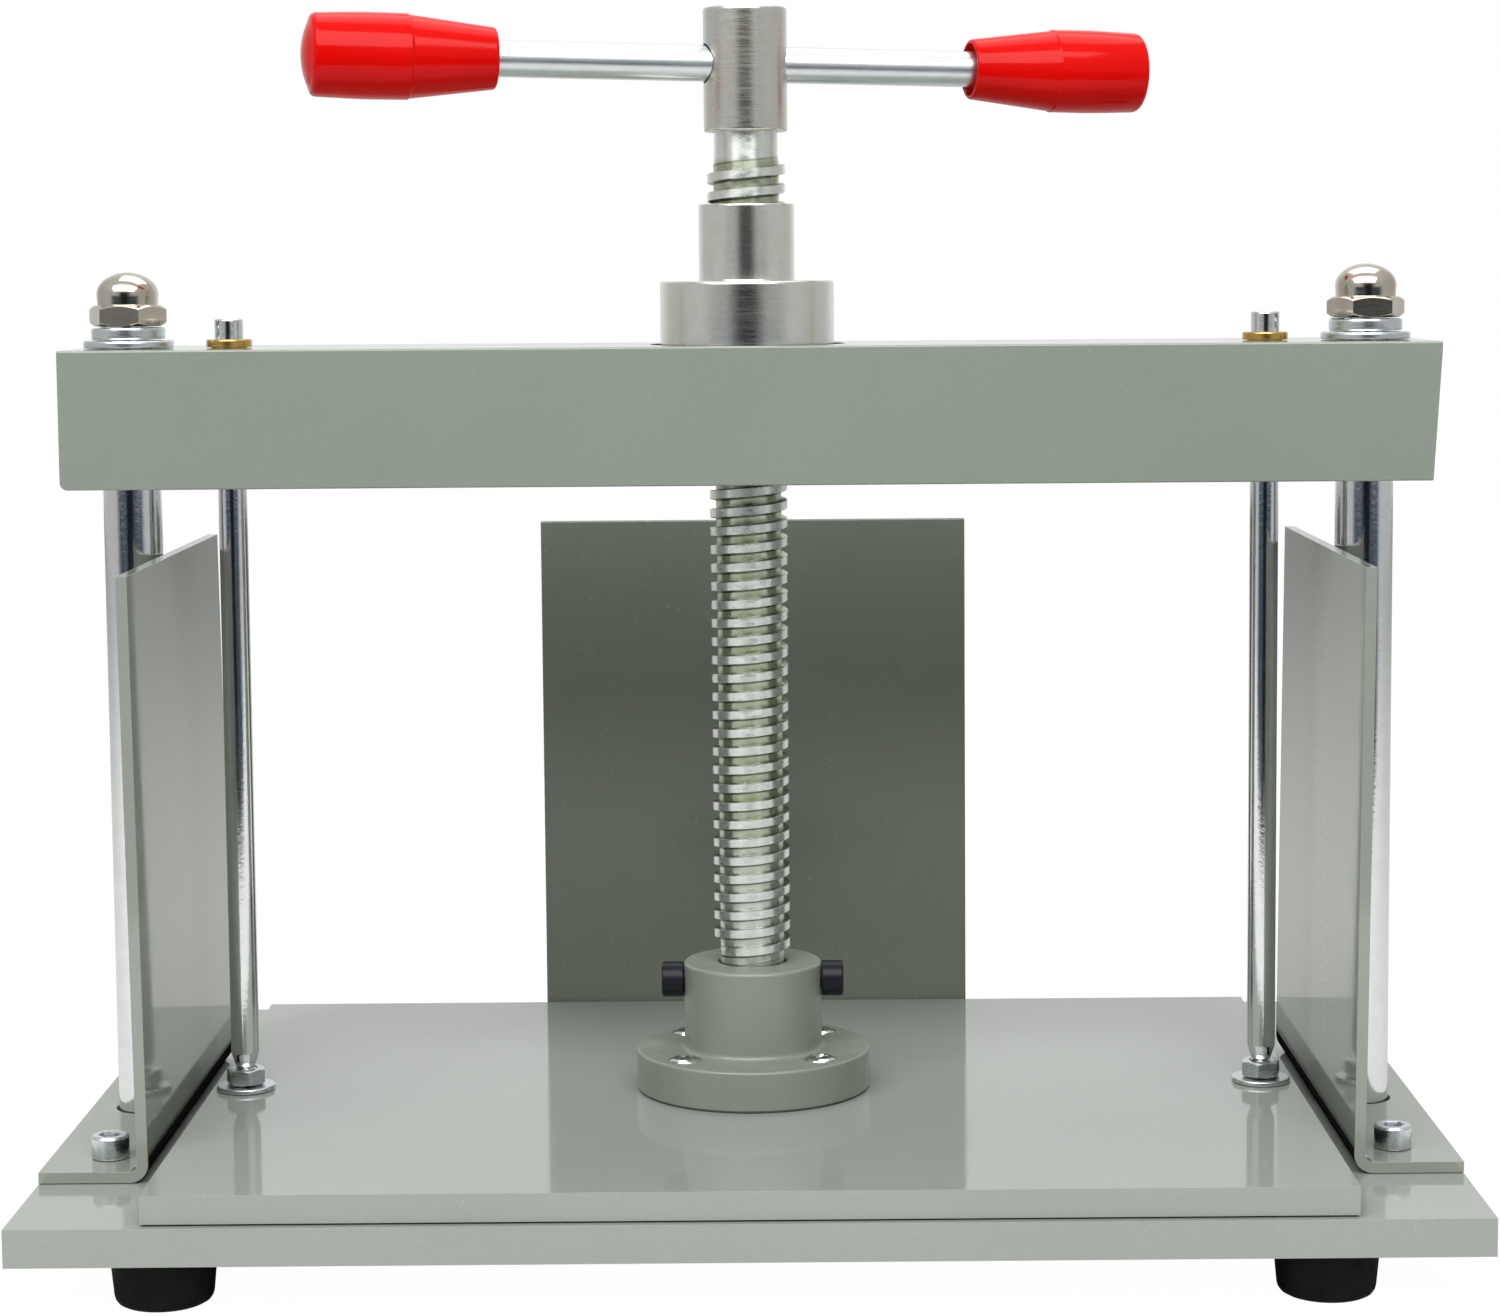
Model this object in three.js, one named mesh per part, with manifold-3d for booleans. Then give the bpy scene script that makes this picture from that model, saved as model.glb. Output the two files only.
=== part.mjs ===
// Bookbinding press: a screw press with an A4 platen, two columns, a cross beam and stack guides.
// Millimetres, +Z up, +X right, the open front at -Y. The origin is on the floor, under the
// middle of the base plate. The platen is modelled at the bottom of its travel.

import * as THREE from 'three';
import { mergeVertices } from 'three/addons/utils/BufferGeometryUtils.js';
import Module from 'manifold-3d';

// ---- Driving dimensions ----

const gap = 0.2; // air left between pieces that are bolted or stacked together

const baseWidth = 379;
const baseDepth = 250;
const baseThickness = 10;
const plateChamfer = 0.7;

const footHeight = 14;
const footTopRadius = 13.9;
const footBottomRadius = 12.6;
const footEdgeRadius = 2.4;
const footInsetX = 39;
const footShift = -1.5; // the feet sit a little to the left of the middle
const footInsetY = 18;

const platenWidth = 310;
const platenDepth = 220;
const platenThickness = 7.5;
const platenFrontMargin = 2;
const platenLift = 0.5; // air under the platen at the bottom of its travel

const columnRadius = 8.1;
const columnSpacing = 347.2;
const columnLength = 182;
const columnStudRadius = 6;

const beamHeight = 38;
const beamDepth = 60;
const beamWall = 4;
const beamLength = 377;
const beamShift = 1; // the beam is welded up a little to the right of the middle
const beamCornerRadius = 1;

const guideRodRadius = 4;
const guideRodSpacing = 290.8;
const guideRodTop = 8; // how far the rods stand above the beam with the platen down
const guideRodFit = 0.09;

const screwRadius = 10.9;
const threadPitch = 5.2;
const threadDepth = 1.7;
const threadCrest = 2.7;
const threadRoot = 1.7;
const screwNeckRadius = 8.9;
const screwJournalRadius = 8.4;

const nutFlangeRadius = 24.35;
const nutFlangeHeight = 17.6; // above the beam
const nutCollarRadius = 13.35;
const nutCollarHeight = 21.4;

const hubFlangeRadius = 33.2;
const hubFlangeHeight = 11.6;
const hubRadius = 19.6;
const hubHeight = 24.8;
const hubBoreRadius = 9.7;
const hubScrewCircle = 51;
const hubScrewAngle = THREE.MathUtils.degToRad(42);

const headRadius = 11.65;
const headHeight = 34.3;
const headAboveNut = 20;
const headNeckExposed = 8.1;

const barRadius = 5;
const barLength = 226;
const barHoleRadius = 5.5;
const barHeightInHead = 18.7;
const barTurn = THREE.MathUtils.degToRad(14.5); // left end swung to the front
const barDroop = THREE.MathUtils.degToRad(0.75); // the loose bar hangs lower on the right
const barShift = -2.4;

const gripLength = 52.9;
const gripRadius = 11.65;
const gripSmallRadius = 8.4;
const gripBarrelLength = 28.8;
const gripMouthRadius = 6.6;
const gripInnerDistance = 67.9; // from the middle of the bar to a grip's inner end

const sheet = 3;
const guideDepth = 140;
const guideHeight = 162;
const guideBend = 2;
const guideLean = THREE.MathUtils.degToRad(0.6);
const guideInnerX = 160.3;
const backGuideWidth = 134;
const backGuideClearance = 1.5;
const backGuideFoot = 26.5;

const socketHeadRadius = 5.05;
const socketHeadHeight = 6.2;
const socketShankRadius = 3;
const guideBoltSpacing = 110;
const backBoltSpacing = 90;

// ---- Levels and places worked out from them ----

const baseTop = footHeight + baseThickness;
const platenBottom = baseTop + platenLift;
const platenTop = platenBottom + platenThickness;
const beamBottom = baseTop + columnLength;
const beamTop = beamBottom + beamHeight;
const flangeTop = platenTop + hubFlangeHeight;
const hubTop = flangeTop + hubHeight;
const nutFlangeTop = beamTop + nutFlangeHeight;
const nutTop = nutFlangeTop + nutCollarHeight;
const headBottom = nutTop + headAboveNut;
const columnX = columnSpacing / 2;
const guideRodX = guideRodSpacing / 2;
const baseCentreY = baseDepth / 2 - platenDepth / 2 - platenFrontMargin; // from the screw's axis
const retainerZ = hubTop - 5.4;
const threadStart = hubTop + 1.4;
const threadEnd = headBottom - headNeckExposed;

const round = 24;
const small = 14;

// ---- Materials ----

function material(color, roughness, metalness) {
  return new THREE.MeshStandardMaterial({ color, roughness, metalness });
}

const greenGrey = { color: '#98a196', roughness: 0.35, metalness: 0.05 };

function paint() {
  return material(greenGrey.color, greenGrey.roughness, greenGrey.metalness);
}

function castPaint() {
  return material('#8f938a', 0.5, 0.1);
}

function chrome() {
  return material('#c9cdd2', 0.15, 1);
}

function zinc() {
  return material('#c3c9cc', 0.3, 0.9);
}

function nickel() {
  return material('#b8b2a6', 0.22, 1);
}

function brass() {
  return material('#b08c3c', 0.3, 1);
}

function blackSteel() {
  return material('#17161a', 0.4, 0.5);
}

function rubber() {
  return material('#0d0d0e', 0.7, 0);
}

function redPlastic() {
  return material('#d01010', 0.2, 0);
}

// ---- Solids ----

const wasm = await Module();
wasm.setup();

function toSolid(geometry) {
  const bare = geometry.clone();
  bare.deleteAttribute('normal');
  bare.deleteAttribute('uv');
  const merged = mergeVertices(bare, 1e-4);
  return new wasm.Manifold(new wasm.Mesh({
    numProp: 3,
    vertProperties: new Float32Array(merged.attributes.position.array),
    triVerts: new Uint32Array(merged.index.array),
  }));
}

function toGeometry(solid) {
  const mesh = solid.getMesh();
  const geometry = new THREE.BufferGeometry();
  geometry.setAttribute('position', new THREE.BufferAttribute(mesh.vertProperties, 3));
  geometry.setIndex(new THREE.BufferAttribute(mesh.triVerts, 1));
  geometry.computeVertexNormals();
  return geometry;
}

function cut(geometry, tools) {
  let solid = toSolid(geometry);
  for (const tool of tools) {
    solid = solid.subtract(toSolid(tool));
  }
  return toGeometry(solid);
}

function join(geometries) {
  let solid = toSolid(geometries[0]);
  for (const other of geometries.slice(1)) {
    solid = solid.add(toSolid(other));
  }
  return toGeometry(solid);
}

function common(first, second) {
  return toGeometry(toSolid(first).intersect(toSolid(second)));
}

// A solid of revolution about Z. The profile is [radius, z] pairs, from the bottom up.
function turned(profile, segments = round) {
  const points = profile.map(([radius, z]) => new THREE.Vector2(radius, z));
  const geometry = new THREE.LatheGeometry(points, segments);
  geometry.rotateX(Math.PI / 2);
  return geometry;
}

// A chamfered round bar from one level to another.
function roundBar(radius, bottom, top, chamfer = 0, segments = round) {
  if (chamfer === 0) {
    return turned([[0, bottom], [radius, bottom], [radius, top], [0, top]], segments);
  }
  return turned([
    [0, bottom], [radius - chamfer, bottom], [radius, bottom + chamfer],
    [radius, top - chamfer], [radius - chamfer, top], [0, top],
  ], segments);
}

function hexBar(acrossFlats, bottom, top) {
  const radius = acrossFlats / 2 / Math.cos(Math.PI / 6);
  const geometry = new THREE.CylinderGeometry(radius, radius, top - bottom, 6);
  geometry.rotateX(Math.PI / 2);
  geometry.translate(0, 0, (top + bottom) / 2);
  return geometry;
}

function moved(geometry, x, y, z = 0) {
  geometry.translate(x, y, z);
  return geometry;
}

// A flat plate centred on X and Y, with its edges chamfered all round.
function chamferedPlate(width, depth, bottom, thickness) {
  const outline = new THREE.Shape();
  const x = width / 2 - plateChamfer;
  const y = depth / 2 - plateChamfer;
  outline.moveTo(-x, -y);
  outline.lineTo(x, -y);
  outline.lineTo(x, y);
  outline.lineTo(-x, y);
  outline.closePath();
  const geometry = new THREE.ExtrudeGeometry(outline, {
    depth: thickness - 2 * plateChamfer,
    bevelEnabled: true,
    bevelThickness: plateChamfer,
    bevelSize: plateChamfer,
    bevelSegments: 1,
  });
  geometry.translate(0, 0, bottom + plateChamfer);
  return geometry;
}

// ---- Assembly ----

const press = new THREE.Group();
press.position.y = -baseCentreY; // from here on, the screw's axis is x = 0, y = 0

function add(name, geometry, surface, place = [0, 0, 0], turn = 0) {
  const mesh = new THREE.Mesh(geometry, surface);
  mesh.name = name;
  mesh.position.set(...place);
  mesh.rotation.z = turn;
  press.add(mesh);
  return mesh;
}

const sides = [['left', -1], ['right', 1]];

// Socket head cap screw standing on z = 0, head up, shank down.
function socketBolt(shankLength, segments = small) {
  const body = turned([
    [0, -shankLength], [socketShankRadius - 0.6, -shankLength],
    [socketShankRadius, -shankLength + 0.6], [socketShankRadius, 0],
    [socketHeadRadius, 0], [socketHeadRadius, socketHeadHeight - 0.6],
    [socketHeadRadius - 0.6, socketHeadHeight], [0, socketHeadHeight],
  ], segments);
  return cut(body, [hexBar(5.2, socketHeadHeight - 3.2, socketHeadHeight + 1)]);
}

// -- Base plate, feet --

const footX = baseWidth / 2 - footInsetX;
const footPlaces = [];
for (const [side, sign] of sides) {
  footPlaces.push([`front_${side}`, footShift + sign * footX, baseCentreY - baseDepth / 2 + footInsetY]);
  footPlaces.push([`rear_${side}`, footShift + sign * footX, baseCentreY + baseDepth / 2 - footInsetY]);
}

const footScrewRadius = 2.4;
const footScrewHead = 5;
const footScrewSink = 4;
const footScrewReach = 7;
const columnBoltRadius = 4;
const columnBoltHead = 8.4;
const guideFootCentreX = 173.2;
const backFaceY = platenDepth / 2 + backGuideClearance;
const backBoltY = backFaceY + backGuideFoot / 2 + 2.5;

const guideBoltPlaces = [];
for (const [side, sign] of sides) {
  guideBoltPlaces.push([`${side}_front`, sign * guideFootCentreX, -guideBoltSpacing / 2]);
  guideBoltPlaces.push([`${side}_rear`, sign * guideFootCentreX, guideBoltSpacing / 2]);
}
const backBoltPlaces = sides.map(([side, sign]) => [side, sign * backBoltSpacing / 2, backBoltY]);

function makeBase() {
  const plate = moved(chamferedPlate(baseWidth, baseDepth, footHeight, baseThickness), 0, baseCentreY);
  const holes = [];
  for (const [, x, y] of footPlaces) {
    const top = footHeight + footScrewReach + gap;
    holes.push(moved(roundBar(footScrewRadius + gap, footHeight - 1, top, 0, 8), x, y));
  }
  for (const [, x, y] of guideBoltPlaces.concat(backBoltPlaces)) {
    holes.push(moved(roundBar(socketShankRadius + gap, baseTop - 8, baseTop + 1, 0, small), x, y));
  }
  for (const [, sign] of sides) {
    holes.push(moved(turned([
      [0, footHeight - 1], [columnBoltHead + gap, footHeight - 1],
      [columnBoltHead + gap, footHeight + 0.6], [columnBoltRadius + gap, footHeight + 5.2],
      [columnBoltRadius + gap, baseTop + 1], [0, baseTop + 1],
    ], small), sign * columnX, 0));
  }
  return cut(plate, holes);
}

add('base_plate', makeBase(), paint());

function makeFoot() {
  const arcSteps = 2;
  const profile = [[footScrewRadius + gap, footScrewSink], [footScrewHead + gap, footScrewSink],
    [footScrewHead + gap, 0]];
  for (let i = 0; i <= arcSteps; i += 1) {
    const angle = (i / arcSteps) * Math.PI / 2;
    profile.push([
      footBottomRadius - footEdgeRadius + footEdgeRadius * Math.sin(angle),
      footEdgeRadius - footEdgeRadius * Math.cos(angle),
    ]);
  }
  profile.push([footTopRadius, footHeight - gap]);
  profile.push([footScrewRadius + gap, footHeight - gap]);
  profile.push(profile[0]);
  return turned(profile, 20);
}

function makeFootScrew() {
  return turned([
    [0, footScrewSink - 2.8], [footScrewHead - 1, footScrewSink - 2.8],
    [footScrewHead, footScrewSink - 1.8], [footScrewHead, footScrewSink - gap],
    [footScrewRadius, footScrewSink - gap], [footScrewRadius, footHeight + footScrewReach],
    [0, footHeight + footScrewReach],
  ], 8);
}

for (const [where, x, y] of footPlaces) {
  add(`foot_${where}`, makeFoot(), rubber(), [x, y, 0]);
  add(`foot_screw_${where}`, makeFootScrew(), zinc(), [x, y, 0]);
}

// -- Columns with their bolts, washers and cap nuts --

const washerThickness = 2;
const washerRadius = 12.5;
const springThickness = 3.6;
const springRadius = 10.2;
const capFlats = 19;
const capHexHeight = 5.8;
const capHeight = 15;
const capDomeRadius = 8.5;
const washerBottom = beamTop + gap;
const springBottom = washerBottom + washerThickness + gap;
const capBottom = springBottom + springThickness + gap;
const studTop = capBottom + 9;

function makeColumn() {
  const body = turned([
    [0, baseTop + gap], [columnRadius - 0.8, baseTop + gap], [columnRadius, baseTop + gap + 0.8],
    [columnRadius, beamBottom - gap - 0.6], [columnRadius - 0.6, beamBottom - gap],
    [columnStudRadius, beamBottom - gap], [columnStudRadius, studTop - 1],
    [columnStudRadius - 1, studTop], [0, studTop],
  ]);
  return cut(body, [roundBar(columnBoltRadius + gap, baseTop - 1, baseTop + 18, 0, small)]);
}

function makeColumnBolt() {
  const body = turned([
    [0, footHeight + 0.5], [columnBoltHead, footHeight + 0.5],
    [columnBoltHead, footHeight + 0.8], [columnBoltRadius, footHeight + 5.2],
    [columnBoltRadius, baseTop + 16], [0, baseTop + 16],
  ], small);
  return cut(body, [hexBar(5, footHeight - 1, footHeight + 3.2)]);
}

function ring(inner, outer, bottom, top) {
  return turned([[inner, bottom], [outer, bottom], [outer, top], [inner, top], [inner, bottom]]);
}

// Split spring washer: a ring with a slot through one side.
function makeSpringWasher() {
  const body = ring(columnStudRadius + 0.3, springRadius, springBottom, springBottom + springThickness);
  const slot = new THREE.BoxGeometry(springRadius, 1.2, springThickness * 3);
  slot.rotateX(THREE.MathUtils.degToRad(20));
  slot.translate(springRadius / 2 + 2.5, 0, springBottom + springThickness / 2);
  return cut(body, [slot]);
}

function makeCapNut() {
  const cornerRadius = capFlats / 2 / Math.cos(Math.PI / 6);
  const hex = common(
    hexBar(capFlats, capBottom, capBottom + capHexHeight),
    turned([
      [0, capBottom], [capFlats / 2, capBottom], [cornerRadius, capBottom + 0.9],
      [cornerRadius, capBottom + capHexHeight - 0.9], [capFlats / 2, capBottom + capHexHeight],
      [0, capBottom + capHexHeight],
    ], 24),
  );
  const wall = capHeight - capHexHeight - 6.2;
  const domeBase = capBottom + capHexHeight + wall;
  const domeTop = capBottom + capHeight;
  const profile = [[0, capBottom + 1], [capDomeRadius, capBottom + 1], [capDomeRadius, domeBase]];
  const domeSteps = 4;
  for (let i = 1; i < domeSteps; i += 1) {
    const angle = (i / domeSteps) * Math.PI / 2;
    profile.push([
      capDomeRadius * Math.cos(angle),
      domeBase + (domeTop - domeBase) * Math.sin(angle),
    ]);
  }
  profile.push([0, domeTop]);
  const body = join([hex, turned(profile, 24)]);
  return cut(body, [roundBar(columnStudRadius + 0.3, capBottom - 1, studTop + 0.6, 0, small)]);
}

const capTurns = { left: THREE.MathUtils.degToRad(-4), right: THREE.MathUtils.degToRad(20) };

for (const [side, sign] of sides) {
  const place = [sign * columnX, 0, 0];
  add(`column_${side}`, makeColumn(), chrome(), place);
  add(`column_bolt_${side}`, makeColumnBolt(), blackSteel(), place);
  add(`flat_washer_${side}`, ring(columnStudRadius + 0.3, washerRadius, washerBottom,
    washerBottom + washerThickness), zinc(), place);
  add(`spring_washer_${side}`, makeSpringWasher(), zinc(), place, THREE.MathUtils.degToRad(150));
  add(`cap_nut_${side}`, makeCapNut(), nickel(), place, Math.PI / 6 + capTurns[side]);
}

// -- Cross beam: a rectangular tube with its ends closed --

const bushingRadius = 5;
const bushingFlangeRadius = 6.35;
const bushingFlangeHeight = 2.1;
const nutHoleRadius = 27.4;
const screwHoleRadius = 12;

function roundedRectangle(path, width, height, radius) {
  const x = width / 2;
  const y = height / 2;
  path.moveTo(-x + radius, -y);
  path.lineTo(x - radius, -y);
  path.absarc(x - radius, -y + radius, radius, -Math.PI / 2, 0, false);
  path.lineTo(x, y - radius);
  path.absarc(x - radius, y - radius, radius, 0, Math.PI / 2, false);
  path.lineTo(-x + radius, y);
  path.absarc(-x + radius, y - radius, radius, Math.PI / 2, Math.PI, false);
  path.lineTo(-x, -y + radius);
  path.absarc(-x + radius, -y + radius, radius, Math.PI, Math.PI * 1.5, false);
  return path;
}

// Lays a flat outline's X on Y and its Y on Z, and centres its thickness on X.
function alongX(outline, length, curveSegments = 3) {
  const geometry = new THREE.ExtrudeGeometry(outline, { depth: length, bevelEnabled: false, curveSegments });
  geometry.rotateX(Math.PI / 2);
  geometry.rotateZ(Math.PI / 2);
  geometry.translate(-length / 2, 0, 0);
  return geometry;
}

function makeBeam() {
  const outline = roundedRectangle(new THREE.Shape(), beamDepth, beamHeight, beamCornerRadius);
  const inside = roundedRectangle(new THREE.Path(), beamDepth - 2 * beamWall, beamHeight - 2 * beamWall, 1);
  outline.holes.push(inside);
  const tube = moved(alongX(outline, beamLength), beamShift, 0, beamBottom + beamHeight / 2);
  const holes = [
    roundBar(nutHoleRadius, beamTop - beamWall - 1, beamTop + 1, 0, 32),
    roundBar(screwHoleRadius, beamBottom - 1, beamBottom + beamWall + 1, 0, round),
  ];
  for (const [, sign] of sides) {
    const studHole = roundBar(columnStudRadius + 2 * gap, beamBottom - 1, beamTop + 1, 0, small);
    const bushingHole = roundBar(bushingRadius + gap, beamBottom - 1, beamTop + 1, 0, round);
    holes.push(moved(studHole, sign * columnX, 0));
    holes.push(moved(bushingHole, sign * guideRodX, 0));
  }
  return cut(tube, holes);
}

add('beam', makeBeam(), paint());

const capThickness = 3;
const capRecess = 0.5;

function makeBeamEnd() {
  const outline = roundedRectangle(new THREE.Shape(), beamDepth - 2 * beamWall - 2 * gap,
    beamHeight - 2 * beamWall - 2 * gap, 1);
  return moved(alongX(outline, capThickness), 0, 0, beamBottom + beamHeight / 2);
}

for (const [side, sign] of sides) {
  const endX = beamShift + sign * (beamLength / 2 - capThickness / 2 - capRecess);
  add(`beam_end_${side}`, makeBeamEnd(), paint(), [endX, 0, 0]);
}

function makeBushing() {
  const bore = guideRodRadius + guideRodFit;
  const flangeBottom = beamTop + gap;
  const flangeEnd = flangeBottom + bushingFlangeHeight;
  return turned([
    [bore, beamBottom + gap], [bushingRadius, beamBottom + gap], [bushingRadius, flangeBottom],
    [bushingFlangeRadius, flangeBottom], [bushingFlangeRadius, flangeEnd - 0.3],
    [bushingFlangeRadius - 0.3, flangeEnd], [bore, flangeEnd], [bore, beamBottom + gap],
  ], 24);
}

for (const [side, sign] of sides) {
  add(`bushing_${side}`, makeBushing(), brass(), [sign * guideRodX, 0, 0]);
}

// -- Press nut, standing on the lower wall of the beam --

const nutBoreRadius = 11.4;

function makePressNut() {
  const bottom = beamBottom + beamWall + gap;
  return turned([
    [nutBoreRadius, bottom], [nutFlangeRadius - 1, bottom], [nutFlangeRadius, bottom + 1],
    [nutFlangeRadius, nutFlangeTop - 0.7], [nutFlangeRadius - 0.7, nutFlangeTop],
    [nutCollarRadius + 0.4, nutFlangeTop], [nutCollarRadius, nutFlangeTop + 0.4],
    [nutCollarRadius, nutTop - 0.5], [nutCollarRadius - 0.5, nutTop],
    [nutBoreRadius + 0.6, nutTop], [nutBoreRadius, nutTop - 0.6], [nutBoreRadius, bottom],
  ], 28);
}

add('press_nut', makePressNut(), nickel());

// -- Side guides and back guide: bent sheet angles bolted to the base --

// The section of a bent angle: foot along +X from the bend, wall up, its inner face at x = 0.
function angleSection(foot, height, lean) {
  const outer = guideBend + sheet;
  const topShift = Math.sin(lean) * height;
  const outline = new THREE.Shape();
  outline.moveTo(outer, 0);
  outline.lineTo(foot, 0);
  outline.lineTo(foot, sheet);
  outline.lineTo(sheet + guideBend, sheet);
  outline.absarc(sheet + guideBend, sheet + guideBend, guideBend, -Math.PI / 2, -Math.PI, true);
  outline.lineTo(sheet + topShift, height);
  outline.lineTo(topShift, height);
  outline.lineTo(0, outer);
  outline.absarc(outer, outer, outer, Math.PI, Math.PI * 1.5, false);
  return outline;
}

// An angle with its foot pointing to +X, standing on the base and centred on Y.
function makeAngle(foot, width, lean) {
  const geometry = new THREE.ExtrudeGeometry(angleSection(foot, guideHeight - gap, lean),
    { depth: width, bevelEnabled: false, curveSegments: 4 });
  geometry.rotateX(Math.PI / 2);
  geometry.translate(0, width / 2, baseTop + gap);
  return geometry;
}

function boltHole(x, y) {
  return moved(roundBar(socketShankRadius + 0.3, baseTop - 1, baseTop + sheet + 1, 0, small), x, y);
}

function makeSideGuide() {
  const angle = moved(makeAngle(baseWidth / 2 - guideInnerX, guideDepth, guideLean), guideInnerX, 0);
  return cut(angle, [
    moved(roundBar(columnRadius + 0.8, baseTop - 1, baseTop + sheet + 1), columnX, 0),
    boltHole(guideFootCentreX, -guideBoltSpacing / 2),
    boltHole(guideFootCentreX, guideBoltSpacing / 2),
  ]);
}

add('side_guide_right', makeSideGuide(), paint());
add('side_guide_left', makeSideGuide(), paint(), [0, 0, 0], Math.PI);

function makeBackGuide() {
  const angle = makeAngle(backGuideFoot, backGuideWidth, 0);
  angle.rotateZ(Math.PI / 2);
  angle.translate(0, backFaceY, 0);
  return cut(angle, backBoltPlaces.map(([, x, y]) => boltHole(x, y)));
}

add('back_guide', makeBackGuide(), paint());

const boltSeat = baseTop + sheet + 2 * gap;
const boltReach = 9.6;
for (const [where, x, y] of guideBoltPlaces) {
  add(`guide_bolt_${where}`, socketBolt(boltReach), zinc(), [x, y, boltSeat], THREE.MathUtils.degToRad(10));
}
for (const [where, x, y] of backBoltPlaces) {
  add(`back_bolt_${where}`, socketBolt(boltReach), zinc(), [x, y, boltSeat], THREE.MathUtils.degToRad(25));
}

// -- Platen with its bearing hub --

const rodTapRadius = 2.9;
const rodTapDepth = 6;
const hubScrewHead = 4.55;
const hubScrewDome = 1;
const hubScrewShank = 2.4;
const hubScrewReach = platenTop - 5;

const hubScrewPlaces = [];
for (const [side, sign] of sides) {
  for (const [end, way] of [['front', -1], ['rear', 1]]) {
    hubScrewPlaces.push([
      `${end}_${side}`,
      sign * hubScrewCircle / 2 * Math.cos(hubScrewAngle),
      way * hubScrewCircle / 2 * Math.sin(hubScrewAngle),
    ]);
  }
}

function makePlaten() {
  const holes = [];
  for (const [, sign] of sides) {
    holes.push(moved(roundBar(rodTapRadius + gap, platenTop - rodTapDepth, platenTop + 1, 0, small),
      sign * guideRodX, 0));
  }
  for (const [, x, y] of hubScrewPlaces) {
    holes.push(moved(roundBar(hubScrewShank + gap, hubScrewReach - gap, platenTop + 1, 0, 8), x, y));
  }
  return cut(chamferedPlate(platenWidth, platenDepth, platenBottom, platenThickness), holes);
}

add('platen', makePlaten(), paint());

const retainerBore = 3.2;

// A plain round bar lying along X, out from the screw's axis.
function sideBar(radius, from, to, segments = small) {
  const geometry = roundBar(radius, from, to, 0, segments);
  geometry.rotateY(Math.PI / 2);
  geometry.translate(0, 0, retainerZ);
  return geometry;
}

function makeBearingHub() {
  const body = turned([
    [hubBoreRadius, platenTop + gap], [hubFlangeRadius, platenTop + gap],
    [hubFlangeRadius, flangeTop - 0.8], [hubFlangeRadius - 0.8, flangeTop],
    [hubRadius + 1.4, flangeTop], [hubRadius + 0.4, flangeTop + 0.5], [hubRadius, flangeTop + 1.4],
    [hubRadius, hubTop - 0.9], [hubRadius - 0.9, hubTop],
    [hubBoreRadius + 0.4, hubTop], [hubBoreRadius, hubTop - 0.4], [hubBoreRadius, platenTop + gap],
  ], 32);
  const holes = [
    sideBar(retainerBore, -hubRadius - 2, -hubBoreRadius + 2),
    sideBar(retainerBore, hubBoreRadius - 2, hubRadius + 2),
  ];
  const sinkDepth = hubScrewHead - hubScrewShank;
  for (const [, x, y] of hubScrewPlaces) {
    holes.push(moved(turned([
      [0, platenTop - 1], [hubScrewShank + gap, platenTop - 1],
      [hubScrewShank + gap, flangeTop - sinkDepth - gap], [hubScrewHead + gap, flangeTop - gap],
      [hubScrewHead + gap, flangeTop + 1], [0, flangeTop + 1],
    ], small), x, y));
  }
  return cut(body, holes);
}

add('bearing_hub', makeBearingHub(), castPaint());

function makeHubScrew() {
  const rim = flangeTop - 0.1;
  const top = rim + hubScrewDome;
  const sinkDepth = hubScrewHead - hubScrewShank;
  const body = turned([
    [0, hubScrewReach], [hubScrewShank, hubScrewReach], [hubScrewShank, rim - sinkDepth],
    [hubScrewHead, rim - 0.1], [hubScrewHead, rim], [hubScrewHead * 0.8, rim + hubScrewDome * 0.65],
    [hubScrewHead * 0.45, top], [0, top],
  ], 12);
  const slots = [0, Math.PI / 2].map((angle) => {
    const slot = new THREE.BoxGeometry(5, 1.1, 3.6);
    slot.rotateZ(angle);
    slot.translate(0, 0, top);
    return slot;
  });
  return cut(body, slots);
}

const crossTurns = { front_left: 35, rear_left: 10, front_right: 75, rear_right: 50 };

for (const [where, x, y] of hubScrewPlaces) {
  add(`hub_screw_${where}`, makeHubScrew(), zinc(), [x, y, 0], THREE.MathUtils.degToRad(crossTurns[where]));
}

// Retaining screws: their plain points run in the groove round the foot of the press screw.
const retainerTip = 7.4;

function makeRetainer() {
  const seat = hubRadius + 0.1;
  const top = seat + socketHeadHeight;
  const body = turned([
    [0, retainerTip], [1.9, retainerTip], [1.9, hubBoreRadius + 0.8],
    [socketShankRadius, hubBoreRadius + 1.4], [socketShankRadius, seat],
    [socketHeadRadius, seat], [socketHeadRadius, top - 0.8], [socketHeadRadius - 0.8, top], [0, top],
  ], small);
  const screw = cut(body, [hexBar(5.2, top - 3.2, top + 1)]);
  screw.rotateY(Math.PI / 2);
  return screw;
}

for (const [side, sign] of sides) {
  add(`retaining_screw_${side}`, makeRetainer(), blackSteel(), [0, 0, retainerZ], sign < 0 ? Math.PI : 0);
}

const padThickness = 4;
add('thrust_pad', roundBar(hubBoreRadius - 0.4, platenTop + gap, platenTop + gap + padThickness), brass());

// -- Guide rods, screwed into the platen --

const rodNutFlats = 10;
const rodNutHeight = 4.6;
const rodWasherRadius = 8.3;
const rodWasherThickness = 1.3;
const rodWasherBottom = platenTop + gap;
const rodNutBottom = rodWasherBottom + rodWasherThickness + gap;
const rodConeStart = rodNutBottom + rodNutHeight + 0.5;
const rodShoulder = rodConeStart + 3.4;
const rodEnd = beamTop + guideRodTop;

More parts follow.
